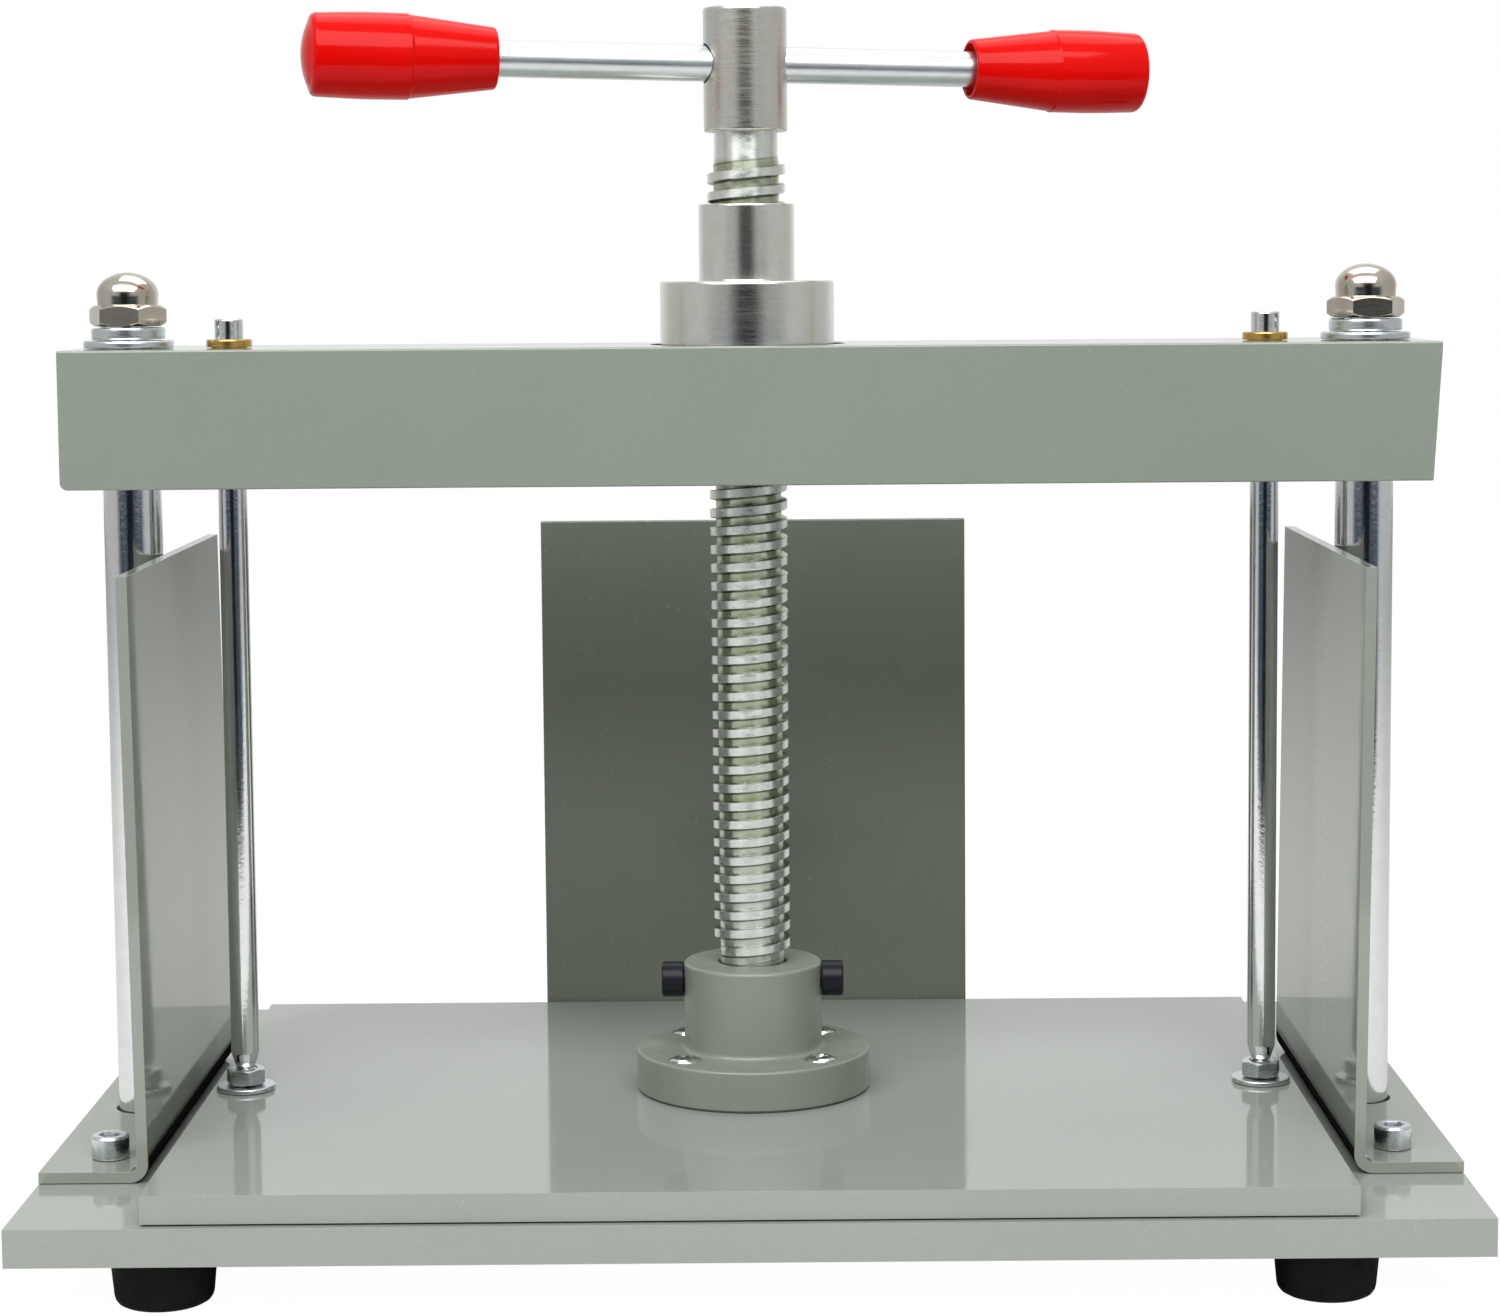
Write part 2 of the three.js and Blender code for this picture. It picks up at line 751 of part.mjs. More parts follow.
function makeGuideRod() {
  return turned([
    [0, platenTop - rodTapDepth + gap], [rodTapRadius, platenTop - rodTapDepth + gap],
    [rodTapRadius, rodConeStart], [guideRodRadius - 0.2, rodShoulder],
    [guideRodRadius, rodShoulder + 0.6], [guideRodRadius, rodEnd - 0.6],
    [guideRodRadius - 0.6, rodEnd], [0, rodEnd],
  ], 24);
}

function makeRodNut() {
  const cornerRadius = rodNutFlats / 2 / Math.cos(Math.PI / 6);
  const top = rodNutBottom + rodNutHeight;
  const nut = common(
    hexBar(rodNutFlats, rodNutBottom, top),
    turned([
      [0, rodNutBottom], [rodNutFlats / 2, rodNutBottom], [cornerRadius, rodNutBottom + 0.5],
      [cornerRadius, top - 0.5], [rodNutFlats / 2, top], [0, top],
    ], 24),
  );
  return cut(nut, [roundBar(rodTapRadius + gap, rodNutBottom - 1, top + 1, 0, small)]);
}

const rodNutTurns = { left: -10, right: 14 };

for (const [side, sign] of sides) {
  const place = [sign * guideRodX, 0, 0];
  add(`guide_rod_${side}`, makeGuideRod(), chrome(), place);
  add(`rod_nut_${side}`, makeRodNut(), zinc(), place, THREE.MathUtils.degToRad(30 + rodNutTurns[side]));
  add(`rod_washer_${side}`, ring(rodTapRadius + 0.3, rodWasherRadius, rodWasherBottom,
    rodWasherBottom + rodWasherThickness), zinc(), place);
}

// -- Press screw --

const journalBottom = platenTop + gap + padThickness + gap;
const grooveHalf = 2.4;
const grooveRadius = 6.9;
const threadSegments = 10;
const neckSocket = 8;

// The threaded length as one closed skin. Each step round the helix has four corners of the
// thread's section, and the fourth is joined to the first of the turn above. A fan to a point on
// the axis closes each end, out of sight in the journal and the neck.
function makeThread() {
  const root = screwRadius - threadDepth;
  const flank = (threadPitch - threadCrest - threadRoot) / 2;
  const corners = [[0, 0], [threadRoot, 0], [threadRoot + flank, 1], [threadRoot + flank + threadCrest, 1]];
  const turns = Math.floor((threadEnd - threadStart) / threadPitch - 1);
  const steps = turns * threadSegments;
  const points = [];
  const indexOf = new Map();
  const addPoint = (step, corner) => {
    const [offset, rise] = corners[corner];
    const angle = (step / threadSegments) * 2 * Math.PI;
    const runOut = Math.min(1, step / 5, (steps - step) / 5);
    const radius = root + threadDepth * rise * (0.1 + 0.9 * Math.max(0, runOut));
    const z = threadStart + offset + (threadPitch * step) / threadSegments;
    indexOf.set(`${step},${corner}`, points.length / 3);
    points.push(radius * Math.cos(angle), radius * Math.sin(angle), z);
  };
  for (let step = 0; step <= steps + threadSegments; step += 1) {
    addPoint(step, 0);
    for (let corner = 1; corner < 4 && step <= steps; corner += 1) {
      addPoint(step, corner);
    }
  }
  const at = (step, corner) => (
    corner === 4 ? indexOf.get(`${step + threadSegments},0`) : indexOf.get(`${step},${corner}`)
  );
  const lower = points.length / 3;
  points.push(0, 0, threadStart - 0.4);
  const upper = lower + 1;
  points.push(0, 0, threadStart + (turns + 1) * threadPitch + 0.4);
  const faces = [];
  for (let step = 0; step < steps; step += 1) {
    for (let corner = 0; corner < 4; corner += 1) {
      faces.push(at(step, corner), at(step + 1, corner), at(step + 1, corner + 1));
      faces.push(at(step, corner), at(step + 1, corner + 1), at(step, corner + 1));
    }
  }
  for (let step = 0; step < threadSegments; step += 1) {
    const last = steps - threadSegments + step;
    faces.push(at(step + 1, 0), at(step, 0), lower);
    faces.push(at(last, 4), at(last + 1, 4), upper);
  }
  for (let corner = 0; corner < 4; corner += 1) {
    faces.push(at(0, corner), at(0, corner + 1), lower);
    faces.push(at(steps, corner + 1), at(steps, corner), upper);
  }
  const geometry = new THREE.BufferGeometry();
  geometry.setAttribute('position', new THREE.Float32BufferAttribute(points, 3));
  geometry.setIndex(faces);
  return geometry;
}

function makePressScrew() {
  const core = screwRadius - threadDepth - 0.8;
  const overlap = threadPitch + 2;
  const journal = turned([
    [0, journalBottom], [screwJournalRadius - 0.8, journalBottom],
    [screwJournalRadius, journalBottom + 0.8], [screwJournalRadius, retainerZ - grooveHalf],
    [grooveRadius, retainerZ - grooveHalf], [grooveRadius, retainerZ + grooveHalf],
    [screwJournalRadius, retainerZ + grooveHalf], [screwJournalRadius, threadStart + 0.5],
    [core, threadStart + overlap], [0, threadStart + overlap],
  ], 20);
  const neck = turned([
    [0, threadEnd - overlap], [core, threadEnd - overlap], [screwNeckRadius, threadEnd - 0.5],
    [screwNeckRadius, headBottom + neckSocket - 0.6],
    [screwNeckRadius - 0.6, headBottom + neckSocket], [0, headBottom + neckSocket],
  ], 20);
  return join([makeThread(), journal, neck]);
}

add('press_screw', makePressScrew(), zinc());

// -- Screw head with its sliding tommy bar --

const barZ = headBottom + barHeightInHead;

// Turns a piece lying along X, centred on the origin, to the tommy bar's place.
function layOnBar(geometry, along = 0) {
  geometry.translate(along, 0, 0);
  geometry.rotateY(barDroop);
  geometry.rotateZ(barTurn);
  geometry.translate(0, 0, barZ);
  return geometry;
}

function makeHead() {
  const body = roundBar(headRadius, headBottom, headBottom + headHeight, 0.7, 32);
  const socket = roundBar(screwNeckRadius + gap, headBottom - 1, headBottom + neckSocket + gap, 0, 24);
  const crossHole = roundBar(barHoleRadius, -headRadius - 3, headRadius + 3, 0, 20);
  crossHole.rotateY(Math.PI / 2);
  return cut(body, [socket, layOnBar(crossHole)]);
}

add('screw_head', makeHead(), nickel());

function makeBar() {
  const bar = roundBar(barRadius, -barLength / 2, barLength / 2, 0.8, 20);
  bar.rotateY(Math.PI / 2);
  return layOnBar(bar, barShift);
}

add('tommy_bar', makeBar(), chrome());

// A grip along +Z: the inner end at 0, tapered, then a barrel with a domed end.
function makeGrip() {
  const step = gripLength - gripBarrelLength;
  const dome = 4;
  const domeSteps = 4;
  const profile = [
    [barRadius + gap, 2.6], [gripMouthRadius, 2.6], [gripMouthRadius, 0],
    [gripSmallRadius - 0.5, 0], [gripSmallRadius, 0.5],
    [gripRadius - 0.3, step - 0.2], [gripRadius, step],
  ];
  for (let i = 0; i < domeSteps; i += 1) {
    const angle = (i / domeSteps) * Math.PI / 2;
    const edge = 2.2;
    profile.push([
      gripRadius - edge + edge * Math.cos(angle),
      gripLength - dome + (dome - 1.6) * Math.sin(angle),
    ]);
  }
  profile.push([gripRadius * 0.5, gripLength - 0.5]);
  profile.push([0, gripLength]);
  const boreEnd = barLength / 2 - gripInnerDistance + gap;
  profile.push([0, boreEnd]);
  profile.push([barRadius + gap, boreEnd]);
  profile.push([barRadius + gap, 2.6]);
  return turned(profile, 20);
}

for (const [side, sign] of sides) {
  const grip = makeGrip();
  grip.rotateY(sign * Math.PI / 2);
  add(`grip_${side}`, layOnBar(grip, barShift + sign * gripInnerDistance), redPlastic());
}

export default press;
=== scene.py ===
"""Bookbinding press: detailed pieces, materials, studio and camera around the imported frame.

Lengths in this file are millimetres, and are turned into metres where a mesh is made. The screw's
axis is upright at x = 0, y = AXIS_Y, and most pieces are built round it.
"""

import math

import bpy
import numpy as np
from mathutils import Matrix, Vector


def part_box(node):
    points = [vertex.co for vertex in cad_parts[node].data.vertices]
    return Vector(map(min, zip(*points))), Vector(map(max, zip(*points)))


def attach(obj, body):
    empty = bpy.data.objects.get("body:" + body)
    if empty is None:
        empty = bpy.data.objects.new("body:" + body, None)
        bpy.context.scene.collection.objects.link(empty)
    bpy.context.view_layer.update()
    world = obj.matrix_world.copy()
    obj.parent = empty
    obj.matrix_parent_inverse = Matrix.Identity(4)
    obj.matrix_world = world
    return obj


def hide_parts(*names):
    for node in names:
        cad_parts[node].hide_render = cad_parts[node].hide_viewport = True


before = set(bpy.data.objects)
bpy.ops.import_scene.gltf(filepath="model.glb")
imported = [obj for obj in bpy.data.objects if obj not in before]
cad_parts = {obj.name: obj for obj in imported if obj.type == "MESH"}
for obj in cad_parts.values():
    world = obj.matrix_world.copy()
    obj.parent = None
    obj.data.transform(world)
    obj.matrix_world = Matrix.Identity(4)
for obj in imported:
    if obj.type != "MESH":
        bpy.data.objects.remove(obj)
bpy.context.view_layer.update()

MM = 0.001
PITCH = 5.2  # of the press screw
CREST_AT = 188.6  # a height at which the press screw's crest faces +X
SOCKET_FLATS = 5.0  # across a cap screw's hexagon socket
SOCKET_HEAD_RADIUS = 5.05
SOCKET_HEAD_HEIGHT = 6.2
CHAMFER_SLOPE = math.tan(math.radians(30))  # of a nut's corners
SIDES = (("left", -1), ("right", 1))
SMOOTH_ANGLE = math.radians(32)
scene = bpy.context.scene


# ---- Reading the frame ----


def span(node):
    """Lowest and highest corner of a CAD node, in millimetres."""
    low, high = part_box(node)
    return low / MM, high / MM


def middle(node):
    low, high = span(node)
    return (low + high) / 2


AXIS_Y = middle("press_nut").y
PLATEN_TOP = span("platen")[1].z
BEAM_BOTTOM = span("beam")[0].z
BEAM_TOP = span("beam")[1].z
COLUMN_X = middle("column_right").x
ROD_X = middle("guide_rod_right").x
HUB_BOTTOM = span("bearing_hub")[0].z
HUB_TOP = span("bearing_hub")[1].z
RETAINER_Z = middle("retaining_screw_right").z
HEAD_BOTTOM = span("screw_head")[0].z


# ---- Meshes ----


def settle(data):
    """Smooth faces with sharp edges kept sharp."""
    data.polygons.foreach_set("use_smooth", [True] * len(data.polygons))
    data.set_sharp_from_angle(angle=SMOOTH_ANGLE)
    data.update()
    return data


def mesh(name, points, faces):
    data = bpy.data.meshes.new(name)
    data.from_pydata([tuple(float(c) * MM for c in p) for p in points], [], faces)
    data.validate()
    return settle(data)


def eased(profile, closed=False):
    """Rounds the corners of a profile. A point is (radius, height) or (radius, height, easing)."""
    points = [Vector((p[0], p[1])) for p in profile]
    count = len(points)
    steps = 4
    result = []
    for i, point in enumerate(points):
        easing = profile[i][2] if len(profile[i]) > 2 else 0
        ends = not closed and i in (0, count - 1)
        if easing == 0 or ends:
            result.append(tuple(point))
            continue
        before = points[i - 1] - point
        after = points[(i + 1) % count] - point
        reach = min(easing, 0.45 * before.length, 0.45 * after.length)
        start = point + before.normalized() * reach
        end = point + after.normalized() * reach
        hold = 0.15 * reach
        result.append(tuple(start + before.normalized() * hold))
        for k in range(steps + 1):
            t = k / steps
            curve = start * (1 - t) ** 2 + point * 2 * t * (1 - t) + end * t**2
            result.append(tuple(curve))
        result.append(tuple(end + after.normalized() * hold))
    return result


def revolved(name, rings, segments=96, closed=False):
    """A solid round Z. A ring is (radius, height), each a number or one value for every angle.

    The rings run from the bottom up the outside. A closed solid joins the last ring to the first,
    and an open one starts and ends on the axis, at radius 0.
    """
    angle = np.arange(segments) * 2 * math.pi / segments
    cosine, sine = np.cos(angle), np.sin(angle)
    points, index, faces = [], [], []
    for radius, height in rings:
        if np.isscalar(radius) and radius == 0:
            index.append([len(points)] * segments)
            points.append((0, 0, height))
            continue
        r, z = np.broadcast_to(radius, segments), np.broadcast_to(height, segments)
        index.append(list(range(len(points), len(points) + segments)))
        points += list(zip(r * cosine, r * sine, z))
    pairs = list(zip(index, index[1:]))
    if closed:
        pairs.append((index[-1], index[0]))
    for lower, upper in pairs:
        for j in range(segments):
            k = (j + 1) % segments
            corners = [lower[j], lower[k], upper[k], upper[j]]
            faces.append(list(dict.fromkeys(corners)))
    return mesh(name, points, faces)


def turned(name, profile, segments=96, closed=False):
    return revolved(name, eased(profile, closed), segments, closed)


def hexagon(flats, segments, corner=1.0):
    """Radius of a hexagon at every angle, with its corners cut back to a share of their radius."""
    angle = np.arange(segments) * 2 * math.pi / segments
    from_flat = (angle + math.pi / 6) % (math.pi / 3) - math.pi / 6
    radius = flats / 2 / np.cos(from_flat)
    return np.minimum(radius, corner * flats / 2 / math.cos(math.pi / 6))


def prism(name, outline, low, high):
    """A flat outline of (x, y) points, anticlockwise, made solid between two heights."""
    count = len(outline)
    points = [(x, y, low) for x, y in outline] + [(x, y, high) for x, y in outline]
    faces = [list(range(count))[::-1], list(range(count, 2 * count))]
    for j in range(count):
        k = (j + 1) % count
        faces.append([j, k, count + k, count + j])
    return mesh(name, points, faces)


def rectangle(width, depth, centre=(0, 0)):
    x, y = centre
    corners = ((-1, -1), (1, -1), (1, 1), (-1, 1))
    return [(x + side_x * width / 2, y + side_y * depth / 2) for side_x, side_y in corners]


def rounded_rectangle(width, height, radius, steps=8):
    points = []
    corners = ((1, -1, -90), (1, 1, 0), (-1, 1, 90), (-1, -1, 180))
    for side_x, side_y, start in corners:
        for k in range(steps + 1):
            angle = math.radians(start + 90 * k / steps)
            points.append((side_x * (width / 2 - radius) + radius * math.cos(angle),
                           side_y * (height / 2 - radius) + radius * math.sin(angle)))
    return points


def spin(degrees, axis="Z"):
    return Matrix.Rotation(math.radians(degrees), 4, axis)


def place(x=0.0, y=0.0, z=0.0, turn=None):
    """A placing in metres from one in millimetres, after an optional rotation."""
    matrix = Matrix.Translation(Vector((x, y, z)) * MM)
    return matrix @ turn if turn else matrix


def finished(data, cutters=(), easing=0.0, easing_steps=3, angle=40):
    """The mesh with cutters taken out of it, and its sharp edges then eased."""
    body = bpy.data.objects.new("work_body", data)
    scene.collection.objects.link(body)
    helpers = []
    for tool_data, matrix in cutters:
        helper = bpy.data.objects.new("work_tool", tool_data)
        scene.collection.objects.link(helper)
        helper.matrix_world = matrix
        helpers.append(helper)
        step = body.modifiers.new("boolean", "BOOLEAN")
        step.operation = "DIFFERENCE"
        step.solver = "EXACT"
        step.object = helper
    if easing:
        bevel = body.modifiers.new("bevel", "BEVEL")
        bevel.width = easing * MM
        bevel.segments = easing_steps
        bevel.limit_method = "ANGLE"
        bevel.angle_limit = math.radians(angle)
        bevel.harden_normals = True
        bevel.miter_outer = "MITER_ARC"
        normals = body.modifiers.new("normals", "WEIGHTED_NORMAL")
        normals.keep_sharp = True
    bpy.context.view_layer.update()
    depsgraph = bpy.context.evaluated_depsgraph_get()
    result = bpy.data.meshes.new_from_object(body.evaluated_get(depsgraph))
    result.materials.clear()
    result.name = data.name
    for thing in helpers + [body]:
        bpy.data.objects.remove(thing)
    if not easing:
        settle(result)
    return result


def hole(radius, low, high, x=0.0, y=0.0, segments=64):
    """A cutter for a round hole down Z."""
    rings = [(0, low), (radius, low), (radius, high), (0, high)]
    return revolved("cutter", rings, segments), place(x, y)


# ---- Pieces ----


def piece(name, data, look, body, at=None):
    """Adds a piece that rides on a body, and stands for the CAD node of its name."""
    thing = bpy.data.objects.new(name + "_detailed", data)
    scene.collection.objects.link(thing)
    thing.matrix_world = at or place(0, AXIS_Y)
    data.materials.append(look)
    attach(thing, body)
    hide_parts(name)


# ---- Materials ----


class Nodes:
    """The node tree of a material or a world, with short ways to add to it."""

    def __init__(self, owner):
        owner.use_nodes = True
        self.tree = owner.node_tree

    def link(self, source, target):
        self.tree.links.new(source, target)

    def node(self, kind, inputs=(), **settings):
        """Adds a node. Each input is given a value, or another node's output to be linked to."""
        made = self.tree.nodes.new("ShaderNode" + kind)
        for key, value in settings.items():
            setattr(made, key, value)
        for key, value in dict(inputs).items():
            if isinstance(value, bpy.types.NodeSocket):
                self.link(value, made.inputs[key])
            else:
                made.inputs[key].default_value = value
        return made

    def math(self, operation, first, second=0.0):
        return self.node("Math", {0: first, 1: second}, operation=operation).outputs["Value"]

    def remap(self, value, from_low, from_high, low=0.0, high=1.0, kind="LINEAR"):
        limits = {"From Min": from_low, "From Max": from_high, "To Min": low, "To Max": high}
        ramp = self.node("MapRange", {"Value": value, **limits}, interpolation_type=kind)
        return ramp.outputs["Result"]


class Surface(Nodes):
    """A Principled material whose textures are placed by the piece's own millimetres."""

    def __init__(self, name, color, metallic, roughness, **sockets):
        self.material = bpy.data.materials.new(name)
        super().__init__(self.material)
        self.shader = self.tree.nodes["Principled BSDF"]
        self.color = color
        self.set("Base Color", (*color, 1))
        self.set("Metallic", metallic)
        self.set("Roughness", roughness)
        for socket, value in sockets.items():
            self.set(socket.replace("_", " "), value)
        self.coordinates = self.node("TexCoord").outputs["Object"]
        self.bump_normal = None

    def set(self, socket, value):
        self.shader.inputs[socket].default_value = value

    def noise(self, size, stretch=(1, 1, 1), detail=2.0, roughness=0.5):
        """Noise with features of about that size in millimetres, drawn out along each axis."""
        scale = [1 / (size * MM * s) for s in stretch]
        mapping = self.node("Mapping", {"Vector": self.coordinates, "Scale": scale})
        shape = {"Scale": 1.0, "Detail": detail, "Roughness": roughness}
        return self.node("TexNoise", {"Vector": mapping.outputs["Vector"], **shape}).outputs["Fac"]

    def spread(self, value, low, high, from_low=0.3, from_high=0.7):
        """Maps a texture's middle range onto low to high."""
        return self.remap(value, from_low, from_high, low, high)

    def tint(self, mask, color):
        """Blends the colour so far towards another one where the mask is 1."""
        socket = self.shader.inputs["Base Color"]
        before = socket.links[0].from_socket if socket.is_linked else (*self.color, 1)
        inputs = {"Factor": mask, "A": before, "B": (*color, 1)}
        self.link(self.node("Mix", inputs, data_type="RGBA").outputs["Result"], socket)

    def rough(self, value):
        self.link(value, self.shader.inputs["Roughness"])

    def bump(self, height, depth):
        """Relief of that depth in millimetres, added to any that is there."""
        inputs = {"Strength": 1.0, "Distance": depth * MM, "Height": height}
        if self.bump_normal:
            inputs["Normal"] = self.bump_normal
        self.bump_normal = self.node("Bump", inputs).outputs["Normal"]
        self.link(self.bump_normal, self.shader.inputs["Normal"])


def shade(color, factor):
    return tuple(c * factor for c in color)


def make_paint(name, color, rough=(0.05, 0.1)):
    """Glossy enamel, with orange peel, dust nibs and a faint unevenness of tone."""
    s = Surface(name, color, 0.0, sum(rough) / 2, IOR=1.62)
    s.tint(s.spread(s.noise(45, detail=3), 0, 1), shade(color, 1.05))
    s.tint(s.spread(s.noise(0.7, detail=1), 0, 0.5, 0.35, 0.75), shade(color, 0.93))
    nibs = s.spread(s.noise(1.6, detail=1), 0, 1, 0.74, 0.8)
    s.tint(nibs, shade(color, 1.18))
    s.rough(s.spread(s.noise(14, detail=3), *rough))
    s.bump(s.noise(2.4, detail=1), 0.003)
    s.bump(nibs, 0.01)
    return s


def make_guide_paint():
    """The side guides' enamel, with painted shade darkening the bend where it turns under beside the
    platen.
    """
    s = make_paint("side_guide_enamel", (0.25, 0.272, 0.235))
    x, y, z = s.node("SeparateXYZ", {"Vector": s.coordinates}).outputs
    low_down = s.spread(z, 1, 0, 6.5 * MM, 8.5 * MM)
    turned_under = s.spread(x, 1, 0, 3.5 * MM, 5 * MM)
    inside = s.spread(s.math("ABSOLUTE", y), 1, 0, 69.2 * MM, 69.7 * MM)
    # Painted shade: near-black colour and no gloss in the bend's lower corner, beside the platen.
    bend_painted_shade = s.math("MULTIPLY", s.math("MULTIPLY", low_down, turned_under), inside)
    s.tint(bend_painted_shade, (0.012, 0.013, 0.012))
    gloss = s.math("MULTIPLY", s.math("SUBTRACT", 1, bend_painted_shade), 0.5)
    s.link(gloss, s.shader.inputs["Specular IOR Level"])
    return s


def make_cast():
    """Satin casting paint over a fine blasted surface, with a few small pits."""
    color = (0.222, 0.248, 0.204)
    s = Surface("satin_hub", color, 0.15, 0.42, Specular_IOR_Level=0.5)
    s.tint(s.spread(s.noise(18, detail=3), 0, 1), shade(color, 1.1))
    s.tint(s.spread(s.noise(0.5, detail=2), 0, 0.5), shade(color, 0.88))
    pits = s.spread(s.noise(1.9, detail=0), 0, 1, 0.84, 0.87)
    s.tint(pits, shade(color, 0.6))
    s.rough(s.spread(s.noise(6, detail=2), 0.32, 0.46))
    s.bump(s.noise(0.45, detail=2), 0.012)
    s.bump(s.noise(0.25, stretch=(30, 30, 1), detail=1), 0.004)
    return s.material


def make_metal(name, color, rough, grain, across, mottle, warm=None):
    """Bare or plated metal. Grain is how the polishing marks are drawn out along each axis."""
    s = Surface(name, color, 1.0, sum(rough) / 2)
    s.tint(s.spread(s.noise(5, detail=3), 0, 1), shade(color, 0.93))
    if warm:
        s.tint(s.spread(s.noise(9, stretch=(1, 1, 2), detail=3), 0, 0.8, 0.4, 0.75), warm)
    marks = s.noise(across, stretch=grain, detail=2)
    s.rough(s.spread(marks, rough[0], rough[1]))
    s.bump(marks, 0.0006)
    s.bump(s.noise(1.3, detail=3, roughness=0.6), mottle)
    return s.material


RINGS = (24, 24, 1)
LENGTHWISE = (1, 1, 60)


def make_screw_steel():
    """Zinc-plated screw: silver crests, stained roots, and painted shadow along the thread's corners.
    """
    s = Surface("plated_screw", (0.8, 0.82, 0.78), 1.0, 0.3, Anisotropic=0.85,
                Anisotropic_Rotation=0.25)
    around = s.node("Tangent", direction_type="RADIAL", axis="Z")
    s.link(around.outputs["Tangent"], s.shader.inputs["Tangent"])
    x, y, z = s.node("SeparateXYZ", {"Vector": s.coordinates}).outputs

    square = s.math("ADD", s.math("MULTIPLY", x, x), s.math("MULTIPLY", y, y))
    radius = s.math("SQRT", square)
    root = s.spread(radius, 1, 0, 9.5 * MM, 10.4 * MM)
    in_thread = s.spread(radius, 0, 1, 8.95 * MM, 9.1 * MM)
    low_down = s.spread(z, 0.25, 1, 85 * MM, 115 * MM)
    stain = s.math("MULTIPLY", s.math("MULTIPLY", root, in_thread), low_down)
    blotch = s.spread(s.noise(3.5, detail=3), 0.7, 1)
    s.tint(s.math("MULTIPLY", stain, blotch), (0.34, 0.38, 0.2))
    s.tint(s.spread(s.noise(2.2, detail=4), 0, 0.4), (0.6, 0.63, 0.58))

    # Painted shade: a dark line in the root just under each crest, and a fainter one at the crest's
    # upper corner.
    turns = s.math("DIVIDE", s.math("ARCTAN2", y, x), 2 * math.pi)
    rise = s.math("DIVIDE", s.math("SUBTRACT", z, CREST_AT * MM), PITCH * MM)
    crest_share = 0.725  # where the crest's middle stands in a pitch that starts at the root
    along = s.math("FRACT", s.math("ADD", s.math("SUBTRACT", rise, turns), crest_share))
    lower_corner, upper_corner = 0.41, 0.97  # shares of a pitch
    to_lower = s.math("ABSOLUTE", s.math("SUBTRACT", along, lower_corner))
    to_upper = s.math("ABSOLUTE", s.math("SUBTRACT", along, upper_corner))
    root_painted_shadow = s.math("MULTIPLY", s.spread(to_lower, 0.85, 0, 0.03, 0.08), in_thread)
    crest_painted_shade = s.math("MULTIPLY", s.spread(to_upper, 0.6, 0, 0.01, 0.04), in_thread)
    s.tint(root_painted_shadow, (0.05, 0.06, 0.04))
    s.tint(crest_painted_shade, (0.1, 0.12, 0.09))

    s.rough(s.spread(s.noise(1.1, stretch=(3, 3, 1), detail=3), 0.24, 0.36))
    s.bump(s.noise(0.5, stretch=(5, 5, 1), detail=3), 0.006)
    s.bump(s.noise(1.8, detail=3), 0.018)
    return s.material


def make_black():
    """Blackened steel with a faint blue tone."""
    s = Surface("blackened_steel", (0.006, 0.006, 0.01), 0.0, 0.3, Specular_IOR_Level=0.2)
    s.tint(s.spread(s.noise(1.4, detail=3), 0, 0.7), (0.01, 0.01, 0.018))
    s.rough(s.spread(s.noise(0.8, detail=2), 0.28, 0.4))
    s.bump(s.noise(0.4, detail=2), 0.001)
    return s.material


def make_rubber():
    """Moulded black rubber, matt and finely pebbled."""
    s = Surface("moulded_rubber", (0.004, 0.004, 0.005), 0.0, 0.5, Specular_IOR_Level=0.08)
    s.tint(s.spread(s.noise(7, detail=3), 0, 0.8), (0.008, 0.008, 0.009))
    s.rough(s.spread(s.noise(3, detail=2), 0.42, 0.6))
    s.bump(s.noise(0.5, detail=2), 0.02)
    return s.material


def make_plastic():
    """Moulded red plastic with a deep gloss."""
    color = (0.62, 0.003, 0.002)
    s = Surface("red_gloss", color, 0.0, 0.12, Specular_IOR_Level=0.12)
    s.tint(s.spread(s.noise(22, detail=2), 0, 0.6), shade(color, 0.86))
    s.rough(s.spread(s.noise(9, detail=2), 0.08, 0.14))
    s.bump(s.noise(3.2, detail=1), 0.006)
    return s.material


PAINT = make_paint("grey_green_enamel", (0.232, 0.264, 0.222)).material
PLATE_PAINT = make_paint("pale_grey_enamel", (0.285, 0.303, 0.279)).material
GUIDE_PAINT = make_guide_paint().material
# The back guide's enamel is darker than the other enamels: painted shade for the shadow under the
# beam.
SHADED_BACK_PAINT = make_paint("back_guide_enamel_painted_shade", (0.172, 0.19, 0.15), rough=(0.25, 0.28)).material
CAST = make_cast()
CHROME = make_metal("polished_chrome", (0.76, 0.77, 0.77), (0.08, 0.15), LENGTHWISE, 0.4, 0.025)
SATIN = make_metal("satin_chrome", (0.72, 0.76, 0.77), (0.28, 0.36), LENGTHWISE, 0.4, 0.01)
BRIGHT = make_metal("bright_plating", (0.6, 0.62, 0.58), (0.12, 0.2), RINGS, 0.3, 0.01)
WORN = make_metal("worn_plated_steel", (0.66, 0.67, 0.63), (0.22, 0.32), RINGS, 0.3, 0.006,
                  warm=(0.64, 0.61, 0.5))
TURNED = make_metal("turned_plated_steel", (0.76, 0.77, 0.72), (0.18, 0.26), RINGS, 0.3, 0.02,
                    warm=(0.72, 0.71, 0.6))
NICKEL = make_metal("warm_nickel", (0.62, 0.575, 0.5), (0.1, 0.2), RINGS, 0.3, 0.008,
                    warm=(0.5, 0.43, 0.33))
ZINC = make_metal("bright_zinc", (0.66, 0.7, 0.73), (0.2, 0.34), RINGS, 0.25, 0.01,
                  warm=(0.6, 0.66, 0.6))
BRASS = make_metal("turned_brass", (0.62, 0.4, 0.12), (0.18, 0.3), RINGS, 0.2, 0.008,
                   warm=(0.45, 0.27, 0.07))
SCREW_STEEL = make_screw_steel()
BLACK = make_black()
RUBBER = make_rubber()
PLASTIC = make_plastic()


# ---- Base and feet ----

